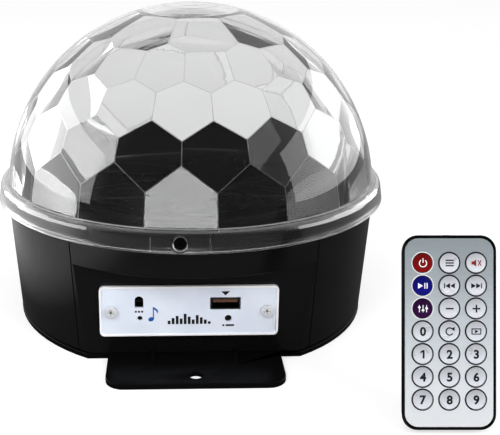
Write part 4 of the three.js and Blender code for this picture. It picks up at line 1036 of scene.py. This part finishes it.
# Remote control: keys
# Round domed keys, hard plastic caps on a rubber sheet, each free to be pressed a third of a millimetre.
# Numbers and plain signs are printed on their crowns: white on the three coloured keys, dark on silver.


def crown(radius):
    """How far a key's domed top stands out at a distance from its middle."""
    return 1.0 + 0.5 * (1 - (radius / key_radius) ** 2)


def key_cap():
    """A key without its print, z out. Its flange and its foot are rubber."""
    rim, flange = key_radius, key_radius + 0.6
    top = [(rim - inset, crown(rim - inset)) for inset in (0.28, 0.65, 1.15, 1.75, 2.4, 3.1)]
    cap = turned([(0, -0.9), (flange, -0.9), (flange, -0.3), (rim, -0.3), (rim, 0.82), (rim - 0.04, 0.95),
                  (rim - 0.12, 1.0), *top, (0, 1.5)], 48)
    for face in cap.faces:
        face.material_index = 2 * int(face.calc_center_median().z < 0.8)
    return cap


def digit(text):
    """A printed number as a thin slab about three millimetres high, centred on the axis."""
    words = bpy.data.curves.new("number", "FONT")
    words.body, words.size, words.extrude = text, 4.6, 0.03
    words.resolution_u, words.offset = 4, 0.17
    holder = bpy.data.objects.new("number", words)
    bpy.context.collection.objects.link(holder)
    depsgraph = bpy.context.evaluated_depsgraph_get()
    mesh = bpy.data.meshes.new_from_object(holder.evaluated_get(depsgraph))
    bpy.data.objects.remove(holder)
    form = bmesh.new()
    form.from_mesh(mesh)
    bmesh.ops.remove_doubles(form, verts=form.verts, dist=0.001)
    low = [min(v.co[i] for v in form.verts) for i in (0, 1)]
    high = [max(v.co[i] for v in form.verts) for i in (0, 1)]
    bmesh.ops.translate(form, verts=form.verts, vec=[-(a + b) / 2 for a, b in zip(low, high)] + [0])
    for face in form.faces:
        face.material_index = 1
    return form


def triangle(x, width, height):
    """A triangle from x along the X axis. A negative width points it to the left."""
    points = [(x, -height / 2), (x + width, 0), (x, height / 2)]
    return points if width > 0 else points[::-1]


def frame_of(x0, y0, x1, y1, line):
    """The four bars of a rectangle drawn with a line."""
    return [bar(x0, y0, x1, y0 + line), bar(x0, y1 - line, x1, y1),
            bar(x0, y0 + line, x0 + line, y1 - line), bar(x1 - line, y0 + line, x1, y1 - line)]


signs = {
    "1": [bar(-0.12, -1.65, 0.6, 1.65), [(-1.0, 0.4), (-0.12, 0.85), (-0.12, 1.65), (-1.0, 1.0)]],
    "power": [arc(0, -0.1, 1.4, 0.36, 125, 415, 32), bar(-0.18, 0.1, 0.18, 1.9)],
    "mode": [bar(-1.6, 0.8, 1.6, 1.3), bar(-1.6, -0.25, 1.6, 0.25), bar(-1.6, -1.3, 1.6, -0.8)],
    "mute": [[(-1.9, -0.6), (-1.1, -0.6), (-0.1, -1.4), (-0.1, 1.4), (-1.1, 0.6), (-1.9, 0.6)],
             [(0.45, -0.95), (0.75, -1.2), (2.0, 0.95), (1.7, 1.2)],
             [(1.7, -1.2), (2.0, -0.95), (0.75, 1.2), (0.45, 0.95)]],
    "play_pause": [triangle(-1.9, 1.9, 2.2), bar(0.5, -1.1, 0.9, 1.1), bar(1.4, -1.1, 1.8, 1.1)],
    "previous": [bar(-2.2, -1.0, -1.8, 1.0), triangle(0.1, -1.8, 2.1), triangle(2.0, -1.8, 2.1)],
    "next": [bar(1.8, -1.0, 2.2, 1.0), triangle(-0.1, 1.8, 2.1), triangle(-2.0, 1.8, 2.1)],
    "equaliser": [bar(x - 0.14, -1.4, x + 0.14, 1.4) for x in (-1.4, 0.0, 1.4)]
    + [bar(x - 0.5, y - 0.3, x + 0.5, y + 0.3) for x, y in ((-1.4, 0.5), (0.0, -0.6), (1.4, 0.1))],
    "volume_down": [bar(-1.5, -0.3, 1.5, 0.3)],
    "volume_up": [bar(-1.5, -0.3, 1.5, 0.3), bar(-0.3, 0.3, 0.3, 1.5), bar(-0.3, -1.5, 0.3, -0.3)],
    "repeat": [arc(0, 0, 1.4, 0.5, 40, 330, 28), [(0.5, 1.0), (1.9, 0.1), (2.0, 1.8)]],
    "source": frame_of(-1.9, -1.2, 1.9, 1.2, 0.4) + [triangle(-0.6, 1.4, 1.4)],
}


def epoxy(name, shade, metallic=0.0, gloss=0.1):
    """A glossy domed cap: colour under a clear skin with faint flakes, and painted shade that darkens it
    towards its upper edge.
    """
    material, at = surface(name)
    flakes = noise(at, 1800.0, 2.0)
    wave = noise(at, 260.0, 2.0)
    bump = relief_from(wave, 0.3, 0.002)
    # Painted shade: the colour falls to about half towards the cap's upper edge and is full at its lower
    # edge.
    rise = at.node("ShaderNodeAttribute", {"attribute_name": "rise"}, output="Fac")
    lower = rise.node("ShaderNodeMapRange", {}, {"Value": rise, "From Min": 0.9, "From Max": -0.6})
    return skinned(material, {
        "Base Color": lower.mix(rgb(shade, 0.55), flakes.mix(rgb(shade, 0.9), rgb(shade, 1.1))),
        "Metallic": metallic, "Specular IOR Level": gloss,
        "Roughness": 0.24 + wave * 0.1, "Coat Weight": 0.12, "Coat Roughness": 0.1, "Normal": bump})


silver_cap = epoxy("silver cap", (222, 225, 232), 0.2, 0.5)
plain_key = (silver_cap, dark_ink, "key_silver")
marked_keys = {"power": (epoxy("red cap", (118, 8, 10)), white_ink, "key_red"),
               "play_pause": (epoxy("blue cap", (12, 12, 112)), white_ink, "key_blue"),
               "equaliser": (epoxy("purple cap", (44, 9, 56)), white_ink, "key_purple"),
               "mute": (silver_cap, ink("red ink", (120, 28, 30)), "key_silver")}
rubber = moulded("dark rubber sheet", (20, 20, 22), 0.75)
for name, (x, z) in key_places.items():
    cap, print_ink, slot = marked_keys.get(name, plain_key)
    mark = printed(signs[name], 1) if name in signs else digit(name)
    bmesh.ops.subdivide_edges(mark, edges=[e for e in mark.edges if e.calc_length() > 0.9], cuts=2)
    for corner in mark.verts:
        corner.co.z = corner.co.z * 1.2 + crown(corner.co.xy.length) + 0.01
    key = together([key_cap(), mark])
    moved(key, remote_place @ Matrix.Translation((x, face_thickness, z)) @ facing_front)
    key = finished("cap_" + name, key, [cap, print_ink, rubber], "key_" + name, ["key_" + name])
    # Each key's height about its middle is kept as 'rise', which sets the painted shade on its cap.
    rise = key.data.attributes.new("rise", "FLOAT", "POINT")
    for corner, value in zip(key.data.vertices, rise.data):
        value.value = ((remote_place.inverted() @ (corner.co / mm)).z - z) / key_radius


# Remote control: board, battery tray and cell
# The board behind the keys carries the infrared lamp that looks out of the upper end. The tray holds a
# coin cell and pulls out of the lower end by the notch at its back.

dress(circuit("remote board lacquer", (31, 90, 52), 73.0), "remote_board")
finished("cell_tray", copied("battery_tray"), [black_matte], "tray", ["battery_tray"],
         edge=0.2)
dress(metal("stamped cell", (190, 192, 194), 0.26), "coin_cell")


# The set
# A pale floor under a white surround, and two soft lamps that light the object: a key above the left
# shoulder and a weaker fill at the right. Three more panels, in front, left and right, show only in mirrors.

# Seen straight or through clear plastic, the surround is white. Mirrors show a room that is dark before the
# object and bright elsewhere, and past three surfaces of clear plastic its rear half is dark too.
world = bpy.data.worlds.new("surround")
world.use_nodes = True
world.node_tree.nodes.clear()
path = Wire(world.node_tree).node("ShaderNodeLightPath", output="Is Camera Ray")
mirrored = path.other("Glossy Depth") > 0.5
direct = path.maths("MAXIMUM", path, path.other("Is Transmission Ray")) * (1.0 - mirrored)
heading = path.node("ShaderNodeTexCoord", output="Generated")
ahead = heading.node("ShaderNodeVectorMath", {"operation": "DOT_PRODUCT"}, {0: heading, 1: (0, -0.97, 0.1)},
                     "Value")
room = heading.node("ShaderNodeMapRange", {}, {"Value": ahead, "From Min": 0.15, "From Max": 0.6,
                                               "To Min": 0.9, "To Max": 0.1})
away = heading.node("ShaderNodeSeparateXYZ", {}, {"Vector": heading}, "Y") > 0.0
room = room * (1.0 - (path.other("Transmission Depth") > 2.5) * away)
ambient = path.node("ShaderNodeBackground", {}, {
    "Color": (1, 1, 1, 1), "Strength": direct + (1.0 - direct) * (mirrored * room + (1.0 - mirrored) * 0.62)})
path.node("ShaderNodeOutputWorld", {}, {"Surface": ambient})
bpy.context.scene.world = world

# Mirrors show the floor dark, but for the part left of the object, and nearly black past three surfaces of
# clear plastic. A glow lifts it to white where it is seen straight, and a weaker one where it shows through.
ground = bmesh.new()
bmesh.ops.create_grid(ground, x_segments=1, y_segments=1, size=6.0)
floor_mesh = bpy.data.meshes.new("floor")
ground.to_mesh(floor_mesh)
floor = bpy.data.objects.new("floor", floor_mesh)
bpy.context.collection.objects.link(floor)
floor_material = bpy.data.materials.new("pale floor")
floor_material.use_nodes = True
floor_material.node_tree.nodes.clear()
path = Wire(floor_material.node_tree).node("ShaderNodeLightPath", output="Is Camera Ray")
seen = path.maths("MAXIMUM", path, path.other("Is Transmission Ray")) * (path.other("Glossy Depth") < 0.5)
mirrored = path.other("Glossy Depth") > 0.5
behind = path.other("Transmission Depth") > 2.5
at = path.node("ShaderNodeTexCoord", output="Object")
spot = at.node("ShaderNodeSeparateXYZ", {}, {"Vector": at}, "X")
leftwards = spot.node("ShaderNodeMapRange", {}, {"Value": spot, "From Min": -0.1, "From Max": -0.15})
backwards = spot.node("ShaderNodeMapRange", {}, {"Value": spot.other("Y"), "From Min": -0.28,
                                                 "From Max": -0.16})
left = leftwards * backwards
paint = path.node("ShaderNodeBsdfDiffuse", {}, {"Color": mirrored.mix(
    seen.mix((0.86, 0.86, 0.86, 1.0), (0.5, 0.5, 0.5, 1.0)),
    behind.mix(left.mix((0.1, 0.1, 0.1, 1.0), (0.75, 0.75, 0.75, 1.0)), (0.02, 0.02, 0.02, 1.0)))})
glow = path.node("ShaderNodeEmission", {}, {
    "Color": (1, 1, 1, 1), "Strength": path * 0.64 + (seen - path) * 0.5})
both = path.node("ShaderNodeAddShader", {}, {0: paint, 1: glow})
path.node("ShaderNodeOutputMaterial", {}, {"Surface": both})
floor_mesh.materials.append(floor_material)


def soft_lamp(name, place, target, width, height, energy, mirrored=None, facets=None):
    """A soft box. One with both shares shows only in mirrors: in outer surfaces, and in the facets inside."""
    lamp = bpy.data.lights.new(name, "AREA")
    lamp.shape, lamp.size, lamp.size_y, lamp.energy = "RECTANGLE", width, height, energy
    holder = bpy.data.objects.new(name, lamp)
    holder.location = place
    holder.rotation_euler = (Vector(target) - Vector(place)).to_track_quat("-Z", "Y").to_euler()
    mirror_only = mirrored is not None
    holder.visible_diffuse, holder.visible_glossy = not mirror_only, mirror_only
    holder.visible_transmission = mirror_only
    if mirror_only:
        lamp.use_nodes = True
        lamp.node_tree.nodes.clear()
        path = Wire(lamp.node_tree).node("ShaderNodeLightPath", output="Glossy Depth")
        crossed = path.other("Transmission Depth")
        strength = (path > 0.5) * ((crossed < 0.5) * mirrored + (crossed > 0.5) * (crossed < 2.5) * facets)
        path.node("ShaderNodeOutputLight", {}, {"Surface": path.node("ShaderNodeEmission", {}, {
            "Strength": strength})})
    bpy.context.collection.objects.link(holder)


lit_middle, mirror_middle = (0, 0, 0.06), (0, 0, 0.1)
soft_lamp("key", (-0.6, -0.9, 0.95), lit_middle, 0.7, 0.7, 8.5)
soft_lamp("fill", (0.75, -0.8, 0.65), lit_middle, 0.6, 0.6, 6.0)
soft_lamp("front box", (-0.129, -1.075, 0.176), (-0.006, -0.087, 0.081), 0.6, 0.45, 9.0,
          mirrored=0.0, facets=1.12)
soft_lamp("left panel", (-1.18, 0.2, 0.34), mirror_middle, 2.0, 0.8, 22.0, mirrored=0.9, facets=3.6)
soft_lamp("right panel", (1.18, 0.2, 0.34), mirror_middle, 2.0, 0.8, 22.0, mirrored=0.7, facets=0.35)


# The camera
# Slightly above the object and a little to its left, square to the remote, as far off as the photograph was
# taken from. The photograph's width, height, focal length and place of the dome's centre are in its pixels.

middle = Vector((0, 0, dome_centre * mm))
azimuth, elevation, distance = remote_turn, remote_lean, 0.468
width, height, focal, centre_x, centre_y = 500.0, 435.0, 911.0, 190.6, 182.9
back = Vector((math.sin(azimuth) * math.cos(elevation), -math.cos(azimuth) * math.cos(elevation),
               math.sin(elevation)))
camera = bpy.data.objects.new("camera", bpy.data.cameras.new("camera"))
camera.data.sensor_width, camera.data.lens = 36.0, 36.0 * focal / width
camera.data.shift_x = (width / 2 - centre_x) / width
camera.data.shift_y = (centre_y - height / 2) / width
camera.data.clip_start, camera.data.clip_end = 0.01, 50.0
camera.location = middle + back * distance
camera.rotation_euler = (-back).to_track_quat("-Z", "Y").to_euler()
bpy.context.collection.objects.link(camera)
bpy.context.scene.camera = camera
bpy.context.scene.view_settings.view_transform = "Standard"
